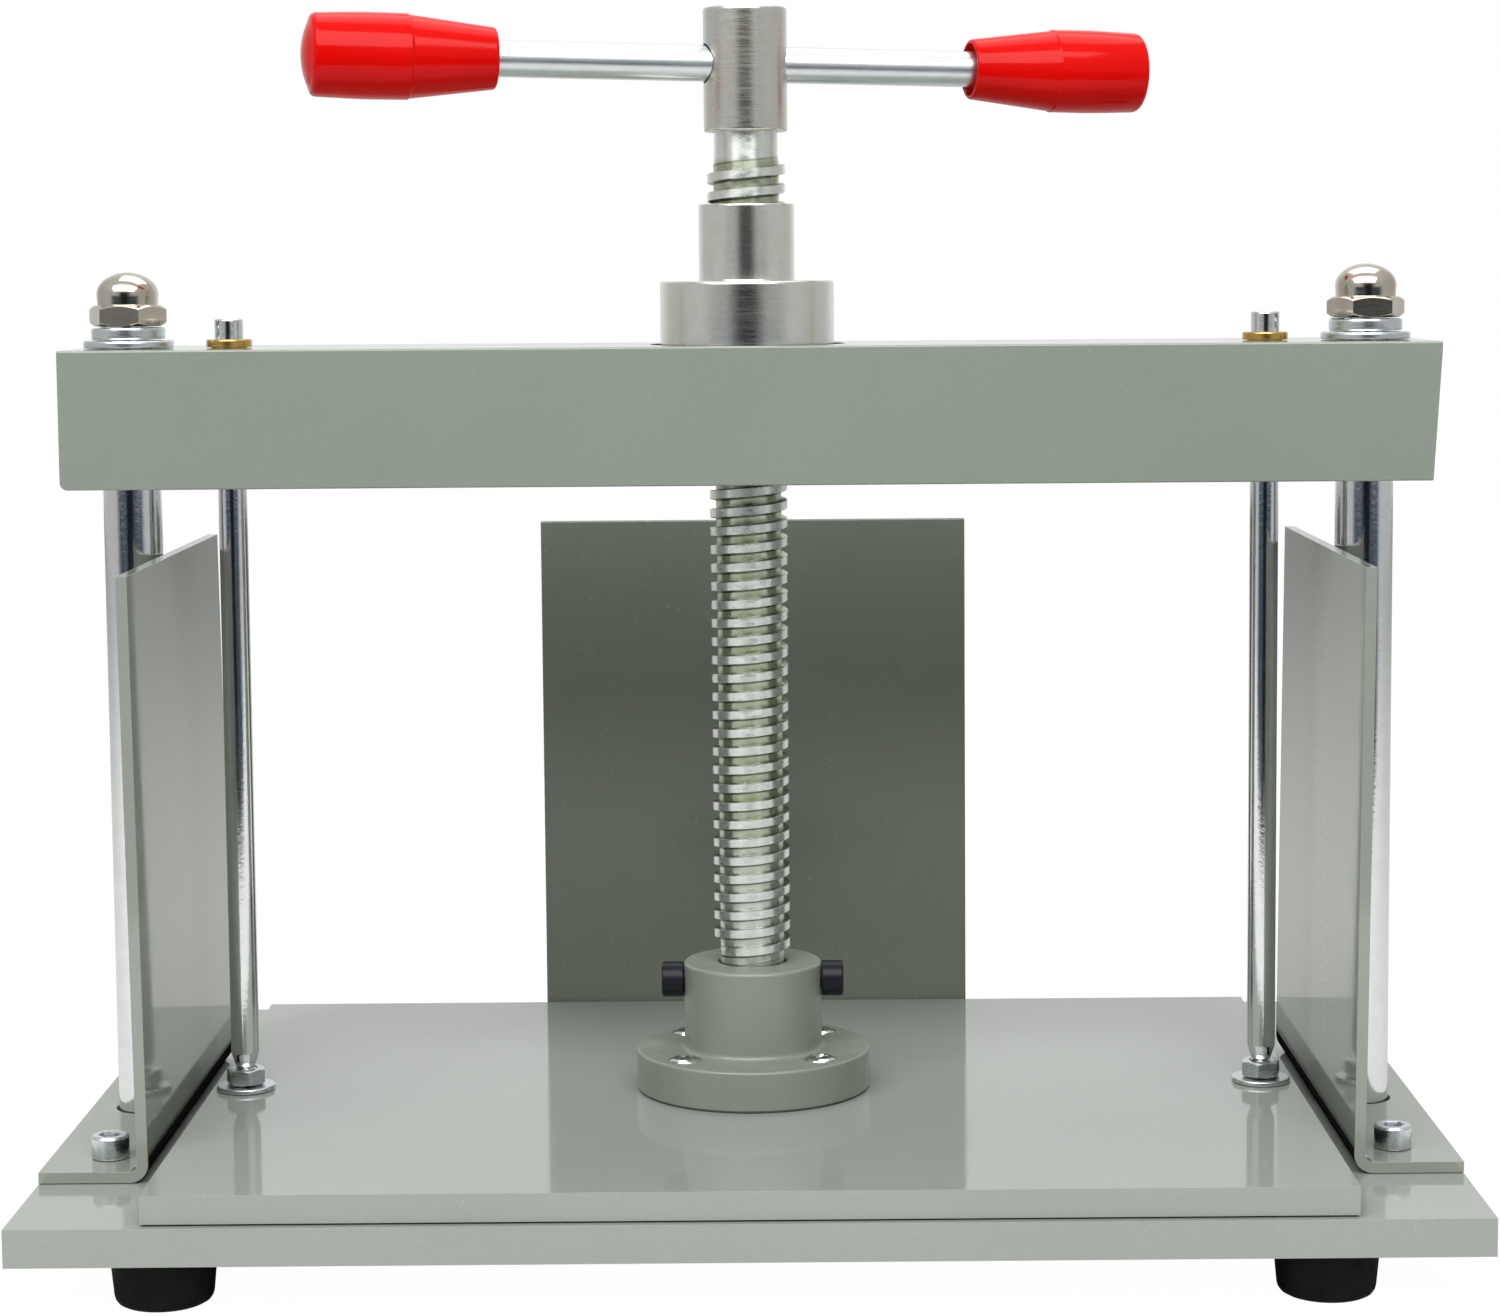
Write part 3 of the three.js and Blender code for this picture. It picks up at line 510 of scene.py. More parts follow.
BOLTS = [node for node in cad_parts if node.startswith(("guide_bolt_", "back_bolt_"))]
BOLT_THREAD_HOLE = 3.2
PLATE_EASING = 0.8


def plate(node):
    """A plain plate that fills its CAD node's box, already in place."""
    low, high = span(node)
    outline = rectangle(high.x - low.x, high.y - low.y, (0, middle(node).y))
    return prism(node, outline, low.z, high.z)


def add_base_plate():
    low, high = span("base_plate")
    cutters = []
    for node in BOLTS:
        spot = middle(node)
        cutters.append(hole(BOLT_THREAD_HOLE, high.z - 8, high.z + 1, spot.x, spot.y, 24))
    sink = [(0, low.z - 1), (8.6, low.z - 1), (8.6, low.z + 0.6), (4.2, low.z + 5.2),
            (4.2, high.z + 1), (0, high.z + 1)]
    for _, sign in SIDES:
        cutters.append((revolved("cutter", sink, 48), place(sign * COLUMN_X, AXIS_Y)))
    body = finished(plate("base_plate"), cutters, easing=PLATE_EASING)
    piece("base_plate", body, PLATE_PAINT, "frame", at=place())


def add_foot(where):
    """A tapered rubber foot, and the screw that holds it up into the base plate."""
    low, high = span(f"foot_{where}")
    spot = middle(f"foot_{where}")
    at = place(spot.x, spot.y)
    top_radius = (high.x - low.x) / 2
    foot = turned("foot", [
        (2.6, 4), (5.2, 4, 0.3), (5.2, 0, 0.5), (top_radius - 1.3, 0, 2.6),
        (top_radius, high.z, 0.5), (2.6, high.z),
    ], 72, closed=True)
    piece(f"foot_{where}", foot, RUBBER, "frame", at)
    low, high = span(f"foot_screw_{where}")
    screw = turned("foot_screw", [
        (0, low.z + 1.6), (1.6, low.z + 1.2, 0.3), (1.9, low.z, 0.2), (4, low.z, 0.8),
        (5, low.z + 1.2, 0.4), (5, low.z + 2.5), (2.4, low.z + 2.5, 0.2), (2.4, high.z - 0.5, 0.3),
        (0, high.z),
    ], 40)
    piece(f"foot_screw_{where}", screw, ZINC, "frame", at)


add_base_plate()
for where in ("front_left", "rear_left", "front_right", "rear_right"):
    add_foot(where)


# ---- Columns, washers and cap nuts ----

CAP_NUT_FLATS = 19.05
CAP_DOME_RADIUS = 8.5
CAP_DOME_HEIGHT = 6.8
CAP_NUT_TURNS = {"left": -4, "right": 2}  # degrees that each cap nut is turned to
COLUMN_RADIUS = 8.1
COLUMN_BORE = 6.4  # of a washer, and of the beam's holes for the columns
SPRING_START = 7  # degrees from +X to the spring washer's first end
SPRING_SWEEP = 350  # degrees from its first end round to the other
SPRING_TURN = 150  # degrees that the whole washer is turned


def cap_nut(node):
    """A hexagon nut with its corners chamfered, and a domed cap on it."""
    low, high = span(node)
    segments = 96
    side = hexagon(CAP_NUT_FLATS, segments)
    shoulder = CAP_NUT_FLATS / 2 - 0.35
    fall = np.maximum(side - shoulder, 0) * CHAMFER_SLOPE
    hex_top = low.z + 5.8
    dome_base = high.z - CAP_DOME_HEIGHT
    rings = [(0, low.z + 9.6), (6.3, low.z + 9.6), (6.3, low.z), (shoulder, low.z)]
    rings += [(side - 0.12, low.z + fall), (side, low.z + fall + 0.12)]
    rings += [(side, hex_top - fall - 0.12), (side - 0.12, hex_top - fall), (shoulder, hex_top)]
    neck = [(shoulder - 0.1, hex_top), (CAP_DOME_RADIUS - 0.15, hex_top, 0.35),
            (CAP_DOME_RADIUS, dome_base)]
    rings += eased(neck)[1:]
    dome_steps = 14
    for k in range(1, dome_steps):
        angle = k / dome_steps * math.pi / 2
        swell = 1 + 0.045 * math.sin(2 * angle)
        rings.append((CAP_DOME_RADIUS * math.cos(angle) * swell,
                      dome_base + CAP_DOME_HEIGHT * math.sin(angle)))
    rings.append((0, high.z))
    return revolved(node, rings, segments)


def spring_washer(node):
    """A ring of square section with its two ends a little apart, one higher than the other."""
    low, high = span(node)
    section = eased([(COLUMN_BORE, 0, 0.3), (10.2, 0, 0.3), (10.2, 1, 0.3), (COLUMN_BORE, 1, 0.3)],
                    closed=True)
    thickness = high.z - low.z
    lift = 0.35
    steps = 90
    points, faces = [], []
    for i in range(steps + 1):
        angle = math.radians(SPRING_START + SPRING_SWEEP * i / steps)
        for radius, share in section:
            height = 0.2 + share * (thickness - 0.4) + lift * (i / steps - 0.5)
            lean = 0.12 * share if i == steps else 0
            around = angle + lean
            points.append((radius * math.cos(around), radius * math.sin(around), low.z + height))
    count = len(section)
    for i in range(steps):
        for j in range(count):
            k = (j + 1) % count
            faces.append([i * count + j, (i + 1) * count + j, (i + 1) * count + k, i * count + k])
    faces.append(list(range(count)))
    faces.append([steps * count + j for j in range(count)][::-1])
    return mesh(node, points, faces)


def column_bolt(node):
    """A countersunk bolt with a hexagon socket, up into the column from below."""
    low, high = span(node)
    segments = 48
    sides = hexagon(SOCKET_FLATS, segments)
    rings = [(0, low.z + 3.4), (sides, low.z + 2.9), (sides, low.z + 0.2), (sides + 0.3, low.z)]
    rings += eased([(3.2, low.z), (8.4, low.z, 0.2), (8.4, low.z + 0.3), (4, low.z + 4.7, 0.2),
                    (4, high.z - 0.8, 0.3), (3.2, high.z)])
    rings.append((0, high.z))
    return revolved("bolt", rings, segments)


def add_column(side, sign):
    """A column with its bolt below, and its washers and cap nut above the beam."""
    at = place(sign * COLUMN_X, AXIS_Y)
    low, high = span(f"column_{side}")
    column = turned("column", [
        (0, low.z + 14), (4.2, low.z + 14), (4.2, low.z, 0.3), (COLUMN_RADIUS, low.z, 0.8),
        (COLUMN_RADIUS, BEAM_BOTTOM - 0.2, 0.6), (6, BEAM_BOTTOM - 0.2), (6, high.z - 0.2, 1.0),
        (0, high.z),
    ])
    piece(f"column_{side}", column, CHROME, "frame", at)
    bolt = column_bolt(f"column_bolt_{side}")
    piece(f"column_bolt_{side}", bolt, BLACK, "frame", at)
    low, high = span(f"flat_washer_{side}")
    washer = turned("washer", [
        (COLUMN_BORE, low.z, 0.2), (12.5, low.z, 0.4), (12.5, high.z, 0.7),
        (COLUMN_BORE, high.z, 0.2),
    ], closed=True)
    piece(f"flat_washer_{side}", washer, ZINC, "frame", at)
    spring = spring_washer(f"spring_washer_{side}")
    piece(f"spring_washer_{side}", spring, ZINC, "frame",
          at @ spin(SPRING_TURN))
    nut = cap_nut(f"cap_nut_{side}")
    piece(f"cap_nut_{side}", nut, NICKEL, "frame",
          at @ spin(CAP_NUT_TURNS[side] - 90))


for side, sign in SIDES:
    add_column(side, sign)


# ---- Cross beam, its ends and bushings ----

BEAM_WALL = 4
CORNER_RADIUS = 2.2  # of the lower left edge, from front to back
END_SLANT = 2.2  # the right end is sawn slightly out of square, longer at the top
ALONG_X = spin(90, "Y") @ spin(90)
FRONT_TO_BACK = spin(90, "X")


def along_beam(name, outline, low_x, high_x):
    """An outline of (y, z) points round the beam's middle, made solid along X."""
    centre = middle("beam")
    data = prism(name, outline, low_x, high_x)
    data.transform(place(0, centre.y, centre.z, ALONG_X))
    return data


def beam_trim(outline, x):
    """A cutter for the beam's end, from a place on its lower edge: points to the right and up."""
    low, high = span("beam")
    return prism("cutter", outline, -high.y - 1, -low.y + 1), place(x, 0, low.z, FRONT_TO_BACK)


def slant_trim():
    low, high = span("beam")
    height = high.z - low.z
    wedge = [(-END_SLANT, -0.1), (1, -0.1), (1, height), (0, height - 2)]
    return beam_trim(wedge, high.x)


def corner_trim():
    steps = 8
    outline = [(-1, -1), (CORNER_RADIUS, -1)]
    for step in range(steps + 1):
        angle = math.radians(-90 - 90 * step / steps)
        outline.append((CORNER_RADIUS * (1 + math.cos(angle)),
                        CORNER_RADIUS * (1 + math.sin(angle))))
    outline.append((-1, CORNER_RADIUS))
    return beam_trim(outline, span("beam")[0].x)


def add_beam():
    """The rectangular tube. The press nut's hole is cut last, so that its edge stays sharp."""
    low, high = span("beam")
    depth, height = high.y - low.y, high.z - low.z
    tube = along_beam("beam", rounded_rectangle(depth, height, 0.6), low.x, high.x)
    inside = rounded_rectangle(depth - 2 * BEAM_WALL, height - 2 * BEAM_WALL, 1.0)
    hollow = along_beam("hollow", inside, low.x - 1, high.x + 1)
    cutters = [(hollow, Matrix.Identity(4)), corner_trim(), slant_trim()]
    cutters.append(hole(12, low.z - 1, low.z + 5, 0, AXIS_Y, 96))
    for _, sign in SIDES:
        cutters.append(hole(COLUMN_BORE, low.z - 1, high.z + 1, sign * COLUMN_X, AXIS_Y))
        cutters.append(hole(5.2, low.z - 1, high.z + 1, sign * ROD_X, AXIS_Y))
    eased_beam = finished(tube, cutters, easing=0.4)
    nut_hole = hole(27.4, high.z - 5, high.z + 1, 0, AXIS_Y, 128)
    piece("beam", finished(eased_beam, [nut_hole], easing=0.05), PAINT, "frame",
          at=place())


def add_beam_end(side, sign):
    """An end plate of the beam, and the brass bushing that a guide rod runs in."""
    low, high = span(f"beam_end_{side}")
    outline = rounded_rectangle(high.y - low.y, high.z - low.z, 1.0)
    end = along_beam("beam_end", outline, low.x, high.x)
    trims = [slant_trim()] if side == "right" else []
    piece(f"beam_end_{side}", finished(end, trims, easing=0.35), PAINT, "frame",
          at=place())
    low, high = span(f"bushing_{side}")
    collar_bottom = BEAM_TOP + 0.2
    bushing = turned("bushing", [
        (4.09, low.z, 0.3), (5, low.z, 0.3), (5, collar_bottom), (6.35, collar_bottom, 0.2),
        (6.35, high.z, 0.5), (4.09, high.z, 0.4),
    ], closed=True)
    piece(f"bushing_{side}", bushing, BRASS, "frame", place(sign * ROD_X, AXIS_Y))


add_beam()
for side, sign in SIDES:
    add_beam_end(side, sign)


# ---- Press nut ----


def add_press_nut():
    """The nut: a broad body from the beam's lower wall up, with a narrower barrel on top."""
    low, high = span("press_nut")
    bore, barrel, flange = 11.4, 13.35, 24.35
    flange_top = BEAM_TOP + 17.6
    nut = turned("press_nut", [
        (bore, low.z, 0.5), (flange, low.z, 0.9), (flange, flange_top, 0.9),
        (barrel, flange_top, 0.5), (barrel, high.z, 0.6), (bore, high.z, 0.7),
    ], 128, closed=True)
    piece("press_nut", nut, TURNED, "frame")


add_press_nut()


# ---- Sheet guides and the bolts that hold them ----

SHEET = 3.0
BEND_RADIUS = 2.0
GUIDE_LEAN = math.radians(0.6)
BOLT_HOLE = 3.3


def angle_outline(foot, height, lean):
    """Section of a bent angle: the wall's face is at x = 0 and the foot runs to +X."""
    outer = BEND_RADIUS + SHEET
    shift = math.sin(lean) * height
    steps = 8
    points = [(outer, 0), (foot, 0), (foot, SHEET), (outer, SHEET)]
    for k in range(1, steps + 1):
        angle = math.radians(-90 - 90 * k / steps)
        points.append((outer + BEND_RADIUS * math.cos(angle), outer + BEND_RADIUS * math.sin(angle)))
    points += [(SHEET + shift, height), (shift, height)]
    for k in range(steps):
        angle = math.radians(180 + 90 * k / steps)
        points.append((outer + outer * math.cos(angle), outer + outer * math.sin(angle)))
    return points


def sheet_angle(name, foot, width, height, lean):
    """A bent angle standing on z = 0, centred on Y, its foot towards +X."""
    data = prism(name, angle_outline(foot, height, lean), -width / 2, width / 2)
    data.transform(spin(90, "X"))
    return data


def add_side_guide(side, sign):
    node = f"side_guide_{side}"
    low, high = span(node)
    data = sheet_angle(node, high.x - low.x, high.y - low.y, high.z - low.z, GUIDE_LEAN)
    inner = low.x if sign > 0 else -high.x
    cutters = [hole(COLUMN_RADIUS + 0.8, -1, SHEET + 1, COLUMN_X - inner, 0, 64)]
    for where in ("front", "rear"):
        bolt = middle(f"guide_bolt_{side}_{where}")
        cutters.append(hole(BOLT_HOLE, -1, SHEET + 1, abs(bolt.x) - inner,
                            sign * (bolt.y - AXIS_Y), 32))
    piece(node, finished(data, cutters, easing=0.3), GUIDE_PAINT, "frame",
          at=place(sign * inner, AXIS_Y, low.z, spin(0 if sign > 0 else 180)))


def add_back_guide():
    low, high = span("back_guide")
    data = sheet_angle("back_guide", high.y - low.y, high.x - low.x, high.z - low.z, 0)
    cutters = []
    for side, _ in SIDES:
        bolt = middle(f"back_bolt_{side}")
        cutters.append(hole(BOLT_HOLE, -1, SHEET + 1, bolt.y - low.y, -bolt.x, 32))
    # Its darker enamel is painted shade.
    piece("back_guide", finished(data, cutters, easing=0.45), SHADED_BACK_PAINT, "frame",
          at=place(0, low.y, low.z, spin(90)))


def socket_bolt(length):
    """A cap screw with its head's underside at z = 0, a hexagon socket and a bright chamfer."""
    segments = 96
    sides = hexagon(SOCKET_FLATS, segments)
    top = SOCKET_HEAD_HEIGHT
    rings = eased([(0, -length), (2.4, -length), (3, 0.6 - length, 0.2), (3, 0),
                   (SOCKET_HEAD_RADIUS - 0.1, 0, 0.15), (SOCKET_HEAD_RADIUS, 0.4, 0.1),
                   (SOCKET_HEAD_RADIUS, top - 0.6, 0.15), (SOCKET_HEAD_RADIUS - 0.5, top, 0.15),
                   (3.4, top)])
    rings += [(sides + 0.35, top), (sides + 0.05, top - 0.2), (sides, top - 0.35), (sides, 3.0),
              (0, 2.4)]
    return revolved("socket_bolt", rings, segments)


def add_bolt(node):
    """A guide's bolt. Its turn comes from the length of its name, so that the bolts differ."""
    low, high = span(node)
    spot = middle(node)
    seat = high.z - SOCKET_HEAD_HEIGHT
    turn = spin(10 + 37 * (len(node) % 5))
    piece(node, socket_bolt(seat - low.z), ZINC, "frame",
          at=place(spot.x, spot.y, seat, turn))


for side, sign in SIDES:
    add_side_guide(side, sign)
add_back_guide()
for node in BOLTS:
    add_bolt(node)


# ---- Platen with its bearing hub ----

HUB_SCREW_TURNS = {"front_left": 35, "rear_left": 10, "front_right": 75, "rear_right": 50}
HUB_SCREW_HOLE = 2.6
HUB_RADIUS = 19.6
HUB_FLANGE_RADIUS = 33.2
HUB_FLANGE_TOP = PLATEN_TOP + 11.6
HUB_BORE = 9.7


def add_platen():
    low, high = span("platen")
    cutters = []
    for _, sign in SIDES:
        cutters.append(hole(3.1, high.z - 6, high.z + 1, sign * ROD_X, AXIS_Y, 32))
    for where in HUB_SCREW_TURNS:
        spot = middle(f"hub_screw_{where}")
        cutters.append(hole(HUB_SCREW_HOLE, high.z - 5.2, high.z + 1, spot.x, spot.y, 24))
    body = finished(plate("platen"), cutters, easing=PLATE_EASING)
    piece("platen", body, PLATE_PAINT, "platen", at=place())


def add_bearing_hub():
    """The cast hub, with a thin relief under its flange, drilled for its screws from above."""
    relief_top = HUB_BOTTOM + 0.5
    relief_radius = HUB_FLANGE_RADIUS - 0.7
    hub = turned("bearing_hub", [
        (HUB_BORE, HUB_BOTTOM, 0.3), (relief_radius, HUB_BOTTOM), (relief_radius, relief_top, 0.1),
        (HUB_FLANGE_RADIUS, relief_top, 0.2), (HUB_FLANGE_RADIUS, HUB_FLANGE_TOP, 0.8),
        (HUB_RADIUS, HUB_FLANGE_TOP, 1.6), (HUB_RADIUS, HUB_TOP, 1.1), (HUB_BORE, HUB_TOP, 0.6),
    ], 144, closed=True)
    cutters = []
    for _, sign in SIDES:
        drill = revolved("cutter", [(0, 8), (3.2, 8), (3.2, 24), (0, 24)], 48)
        cutters.append((drill, place(0, 0, RETAINER_Z, spin(sign * 90, "Y"))))
    sink = [(0, HUB_BOTTOM - 1), (HUB_SCREW_HOLE, HUB_BOTTOM - 1),
            (HUB_SCREW_HOLE, HUB_FLANGE_TOP - 2.3), (4.75, HUB_FLANGE_TOP - 0.2),
            (4.85, HUB_FLANGE_TOP + 1), (0, HUB_FLANGE_TOP + 1)]
    for where in HUB_SCREW_TURNS:
        spot = middle(f"hub_screw_{where}")
        cutters.append((revolved("cutter", sink, 64), place(spot.x, spot.y - AXIS_Y)))
    piece("bearing_hub", finished(hub, cutters), CAST, "platen")


def cross_recess_screw(low, high):
    """A raised countersunk screw with a cross recess, round its own axis."""
    rim = high - 1
    body = turned("hub_screw", [
        (0, low), (2.4, low, 0.3), (2.4, rim - 2.15), (4.5, rim - 0.1, 0.15),
        (4.3, rim + 0.25, 0.1), (3.1, rim + 0.9, 1.2), (0, high),
    ], 64)
    half_length, half_width, half_tip = 2.6, 0.55, 0.9
    arm = [(-half_tip, -3), (half_tip, -3), (half_length, 1), (-half_length, 1)]
    cutters = []
    for turn in (0, 90):
        cutter = prism("cutter", arm, -half_width, half_width)
        cutters.append((cutter, spin(turn) @ place(0, 0, high, spin(90, "X"))))
    return finished(body, cutters, easing=0.08, easing_steps=2)


def add_hub_screw(where):
    low, high = span(f"hub_screw_{where}")
    spot = middle(f"hub_screw_{where}")
    piece(f"hub_screw_{where}", cross_recess_screw(low.z, high.z), BRIGHT, "platen",
          at=place(spot.x, spot.y, 0, spin(HUB_SCREW_TURNS[where])))


def add_retaining_screw(side, sign):
    """A black cap screw through the hub's wall, its point in the press screw's groove."""
    low, high = span(f"retaining_screw_{side}")
    tip = min(abs(low.x), abs(high.x))
    top = max(abs(low.x), abs(high.x))
    seat = top - SOCKET_HEAD_HEIGHT
    segments = 96
    sides = hexagon(SOCKET_FLATS, segments)
    rings = eased([(0, tip), (1.6, tip), (1.9, tip + 0.4), (1.9, 10.5), (3, 11.1), (3, seat),
                   (4.9, seat, 0.2), (SOCKET_HEAD_RADIUS, seat + 0.5, 0.2),
                   (SOCKET_HEAD_RADIUS, top, 0.9), (3.5, top)])
    rings += [(sides + 0.3, top), (sides, top - 0.4), (sides, top - 3.2), (0, top - 3.7)]
    screw = revolved("retaining_screw", rings, segments)
    piece(f"retaining_screw_{side}", screw, BLACK, "platen",
          at=place(0, AXIS_Y, RETAINER_Z, spin(sign * 90, "Y")))


def add_thrust_pad():
    """The brass pad that the press screw's end turns on."""
    low, high = span("thrust_pad")
    profile = [(0, low.z), (9.3, low.z, 0.4), (9.3, high.z, 0.4), (0, high.z)]
    piece("thrust_pad", turned("thrust_pad", profile, 64), BRASS, "platen")


add_platen()
add_bearing_hub()
for where in HUB_SCREW_TURNS:
    add_hub_screw(where)
for side, sign in SIDES:
    add_retaining_screw(side, sign)
add_thrust_pad()


# ---- Screw threads ----


def helix(radius, depth, pitch, low, high, corners, crest_at, run_out, segments):
    """Points and faces of a thread's skin, open at both ends on a helical line.

    The corners are (share of the pitch, share of the depth) pairs that span one pitch. The skin
    follows a helix whose crest passes angle 0 at the height crest_at, and runs out to the root.
    """
    turns = int((high - low) / pitch)
    crest_share = sum(c[0] for c in corners if c[1] == 1) / sum(1 for c in corners if c[1] == 1)
    start = low + (crest_at - crest_share * pitch - low) % pitch
    steps = (turns - 1) * segments
    points, index = [], {}
    for step in range(steps + segments + 1):
        angle = 2 * math.pi * step / segments
        ease = min(step, steps - step) / (run_out * segments)
        ease = min(1, max(0, ease))
        ease = ease * ease * (3 - 2 * ease)
        for corner, (along, rise) in enumerate(corners):
            if step > steps and corner > 0:
                break
            r = radius - depth + depth * rise * ease
            z = start + pitch * (along + step / segments)
            index[step, corner] = len(points)
            points.append((r * math.cos(angle), r * math.sin(angle), z))
    count = len(corners)

    def at(step, corner):
        return index[step, corner] if corner < count else index[step + segments, 0]

    faces = []
    for step in range(steps):
        for corner in range(count):
            faces.append([at(step, corner), at(step + 1, corner), at(step + 1, corner + 1),
                          at(step, corner + 1)])
    lower = [at(step, 0) for step in range(segments)] + [at(0, c) for c in range(count, 0, -1)]
    upper = [at(steps - segments + step, count) for step in range(segments)]
    upper += [at(steps, c) for c in range(count, 0, -1)]
    return points, faces, lower, upper, segments


def threaded_bar(name, skin, below, above):
    """A bar whose thread is the skin, with round lengths below and above given by profiles."""
    points, faces, lower, upper, segments = skin
    points, faces = list(points), list(faces)

    def ring(radius, height, turn=0):
        first = len(points)
        for j in range(segments):
            angle = 2 * math.pi * (j + turn) / segments
            points.append((radius * math.cos(angle), radius * math.sin(angle), height))
        return [first + j for j in range(segments)]

    def skirt(first, second):
        for j in range(segments):
            k = (j + 1) % segments
            faces.append([first[j], first[k], second[k], second[j]])

    rings = [ring(r, z) for r, z in below]
    for first, second in zip(rings, rings[1:]):
        skirt(first, second)
    faces.append(rings[0][::-1])
    last = rings[-1]
    for j in range(segments - 1):
        faces.append([last[j], last[j + 1], lower[j + 1], lower[j]])
    faces.append([last[segments - 1], last[0]] + [lower[0]] + lower[segments:][::-1]
                 + [lower[segments - 1]])
    rings = [ring(r, z) for r, z in above]
    for first, second in zip(rings, rings[1:]):
        skirt(first, second)
    faces.append(rings[-1])
    first = rings[0]
    for j in range(segments - 1):
        faces.append([upper[j], upper[j + 1], first[j + 1], first[j]])
    faces.append([upper[segments - 1]] + upper[segments:] + [upper[0], first[0], first[segments - 1]])
    return mesh(name, points, [list(dict.fromkeys(f)) for f in faces])


# ---- Press screw ----

THREAD_RADIUS = 10.9
THREAD_DEPTH = 1.7
THREAD_CORNERS = ((0.0, 0.0), (0.05, 0.0), (0.38, 0.0), (0.43, 0.06), (0.485, 0.9), (0.51, 1.0),
                  (0.94, 1.0), (0.965, 0.9), (0.99, 0.06))


def add_press_screw():
    """The journal in the hub, the thread, and a neck up into the head.

    A thread starts and ends at angle 0, and this one's ends face -X. So it is made with its crest
    half a pitch off, and is then turned half round.
    """
    low, high = span("press_screw")
    skin = helix(THREAD_RADIUS, THREAD_DEPTH, PITCH, HUB_TOP - 0.8, HEAD_BOTTOM - 3.8,
                 THREAD_CORNERS, crest_at=CREST_AT + PITCH / 2, run_out=0.3, segments=72)
    end, journal, groove, neck = 7.6, 8.4, 6.9, 8.9
    below = eased([(end, low.z), (journal, low.z + 0.8, 0.2), (journal, RETAINER_Z - 2.4, 0.2),
                   (groove, RETAINER_Z - 2.4, 0.2), (groove, RETAINER_Z + 2.4, 0.2),
                   (journal, RETAINER_Z + 2.4, 0.2), (journal, HUB_TOP - 2.2, 0.3),
                   (neck, HUB_TOP - 1.6, 0.3), (neck, HUB_TOP - 0.9)])
    above = eased([(neck, HEAD_BOTTOM - 6.2), (neck, HEAD_BOTTOM + 7.4, 0.3), (8.3, high.z)])
    screw = threaded_bar("press_screw", skin, below, above)
    screw.transform(spin(180))
    piece("press_screw", screw, SCREW_STEEL, "screw")


add_press_screw()


# ---- Guide rods with their nuts and washers ----

ROD_CORNERS = ((0.0, 0.0), (0.3, 0.15), (0.5, 1.0), (0.7, 0.15))
ROD_THREAD_RADIUS = 2.9
ROD_RADIUS = 4
ROD_CONE_BOTTOM = PLATEN_TOP + 6.9
ROD_NUT_FLATS = 10
ROD_NUT_TURNS = {"left": -10, "right": 14}  # degrees that each nut is turned to


def guide_rod(side):
    """A rod with a threaded end below, a cone up to its full radius, and a dimpled top."""
    low, high = span(f"guide_rod_{side}")
    skin = helix(ROD_THREAD_RADIUS, 0.45, 1.0, PLATEN_TOP - 5.4, ROD_CONE_BOTTOM - 0.2,
                 ROD_CORNERS, crest_at=0.0, run_out=0.5, segments=40)
    below = [(2.2, low.z), (2.45, low.z + 0.2)]
    above = eased([(2.7, ROD_CONE_BOTTOM), (ROD_RADIUS - 0.15, ROD_CONE_BOTTOM + 3.4, 0.2),
                   (ROD_RADIUS, ROD_CONE_BOTTOM + 3.9, 0.2), (ROD_RADIUS, high.z, 0.6),
                   (1.5, high.z, 0.2), (0.6, high.z - 0.9)])
    return threaded_bar("guide_rod", skin, below, above)


def rod_nut(side):
    low, high = span(f"rod_nut_{side}")
    segments = 96
    sides = hexagon(ROD_NUT_FLATS, segments, 0.985)
    shoulder = ROD_NUT_FLATS / 2 - 0.25
    bore = ROD_THREAD_RADIUS + 0.05
    fall = np.maximum(sides - shoulder, 0) * CHAMFER_SLOPE
    rings = [(bore, low.z + 0.4), (3.3, low.z), (shoulder, low.z), (sides, low.z + fall),
             (sides, high.z - fall), (shoulder, high.z), (3.3, high.z), (bore, high.z - 0.4)]
    return revolved("rod_nut", rings, segments, closed=True)


def rod_washer(side):
    low, high = span(f"rod_washer_{side}")
    return turned("rod_washer", [
        (3.2, low.z, 0.2), (8.3, low.z, 0.3), (8.3, high.z, 0.5), (3.2, high.z, 0.2),
    ], closed=True)


for side, sign in SIDES:
    at = place(sign * ROD_X, AXIS_Y)
    piece(f"guide_rod_{side}", guide_rod(side), CHROME, "platen", at)
    piece(f"rod_nut_{side}", rod_nut(side), ZINC, "platen",
          at @ spin(ROD_NUT_TURNS[side] - 90))
    piece(f"rod_washer_{side}", rod_washer(side), ZINC, "platen", at)


# ---- Screw head, tommy bar and grips ----

HEAD_RADIUS = 11.65
BAR_Z = HEAD_BOTTOM + 18.7
BAR_TURN = 14.5  # degrees, as the droop
BAR_DROOP = 0.75
BAR_SHIFT = -2.4  # the loose bar's middle, along the bar from the head's axis
BAR_LEAN = spin(BAR_TURN) @ spin(BAR_DROOP, "Y")
UP_TO_X = spin(90, "Y")
BAR_HALF = 113
GRIP_START = 67.9  # from the bar's middle to a grip's inner end
GRIP_LENGTH = 52.9


def add_screw_head():
    low, high = span("screw_head")
    bore = 9.1
    head = turned("screw_head", [
        (0, low.z + 8.2), (bore, low.z + 8.2), (bore, low.z, 0.4), (HEAD_RADIUS, low.z, 0.8),
        (HEAD_RADIUS, high.z, 1.0), (0, high.z),
    ], 128)
    cross_hole = revolved("cutter", [(0, -16), (5.5, -16), (5.5, 16), (0, 16)], 64)
    cutters = [(cross_hole, place(0, 0, BAR_Z, BAR_LEAN) @ UP_TO_X)]
    piece("screw_head", finished(head, cutters, easing=0.3, angle=35), WORN, "screw")


def on_bar(along):
    """The placing of a point on the bar, a distance from the bar's middle."""
    return place(0, AXIS_Y, BAR_Z, BAR_LEAN) @ place(BAR_SHIFT + along)


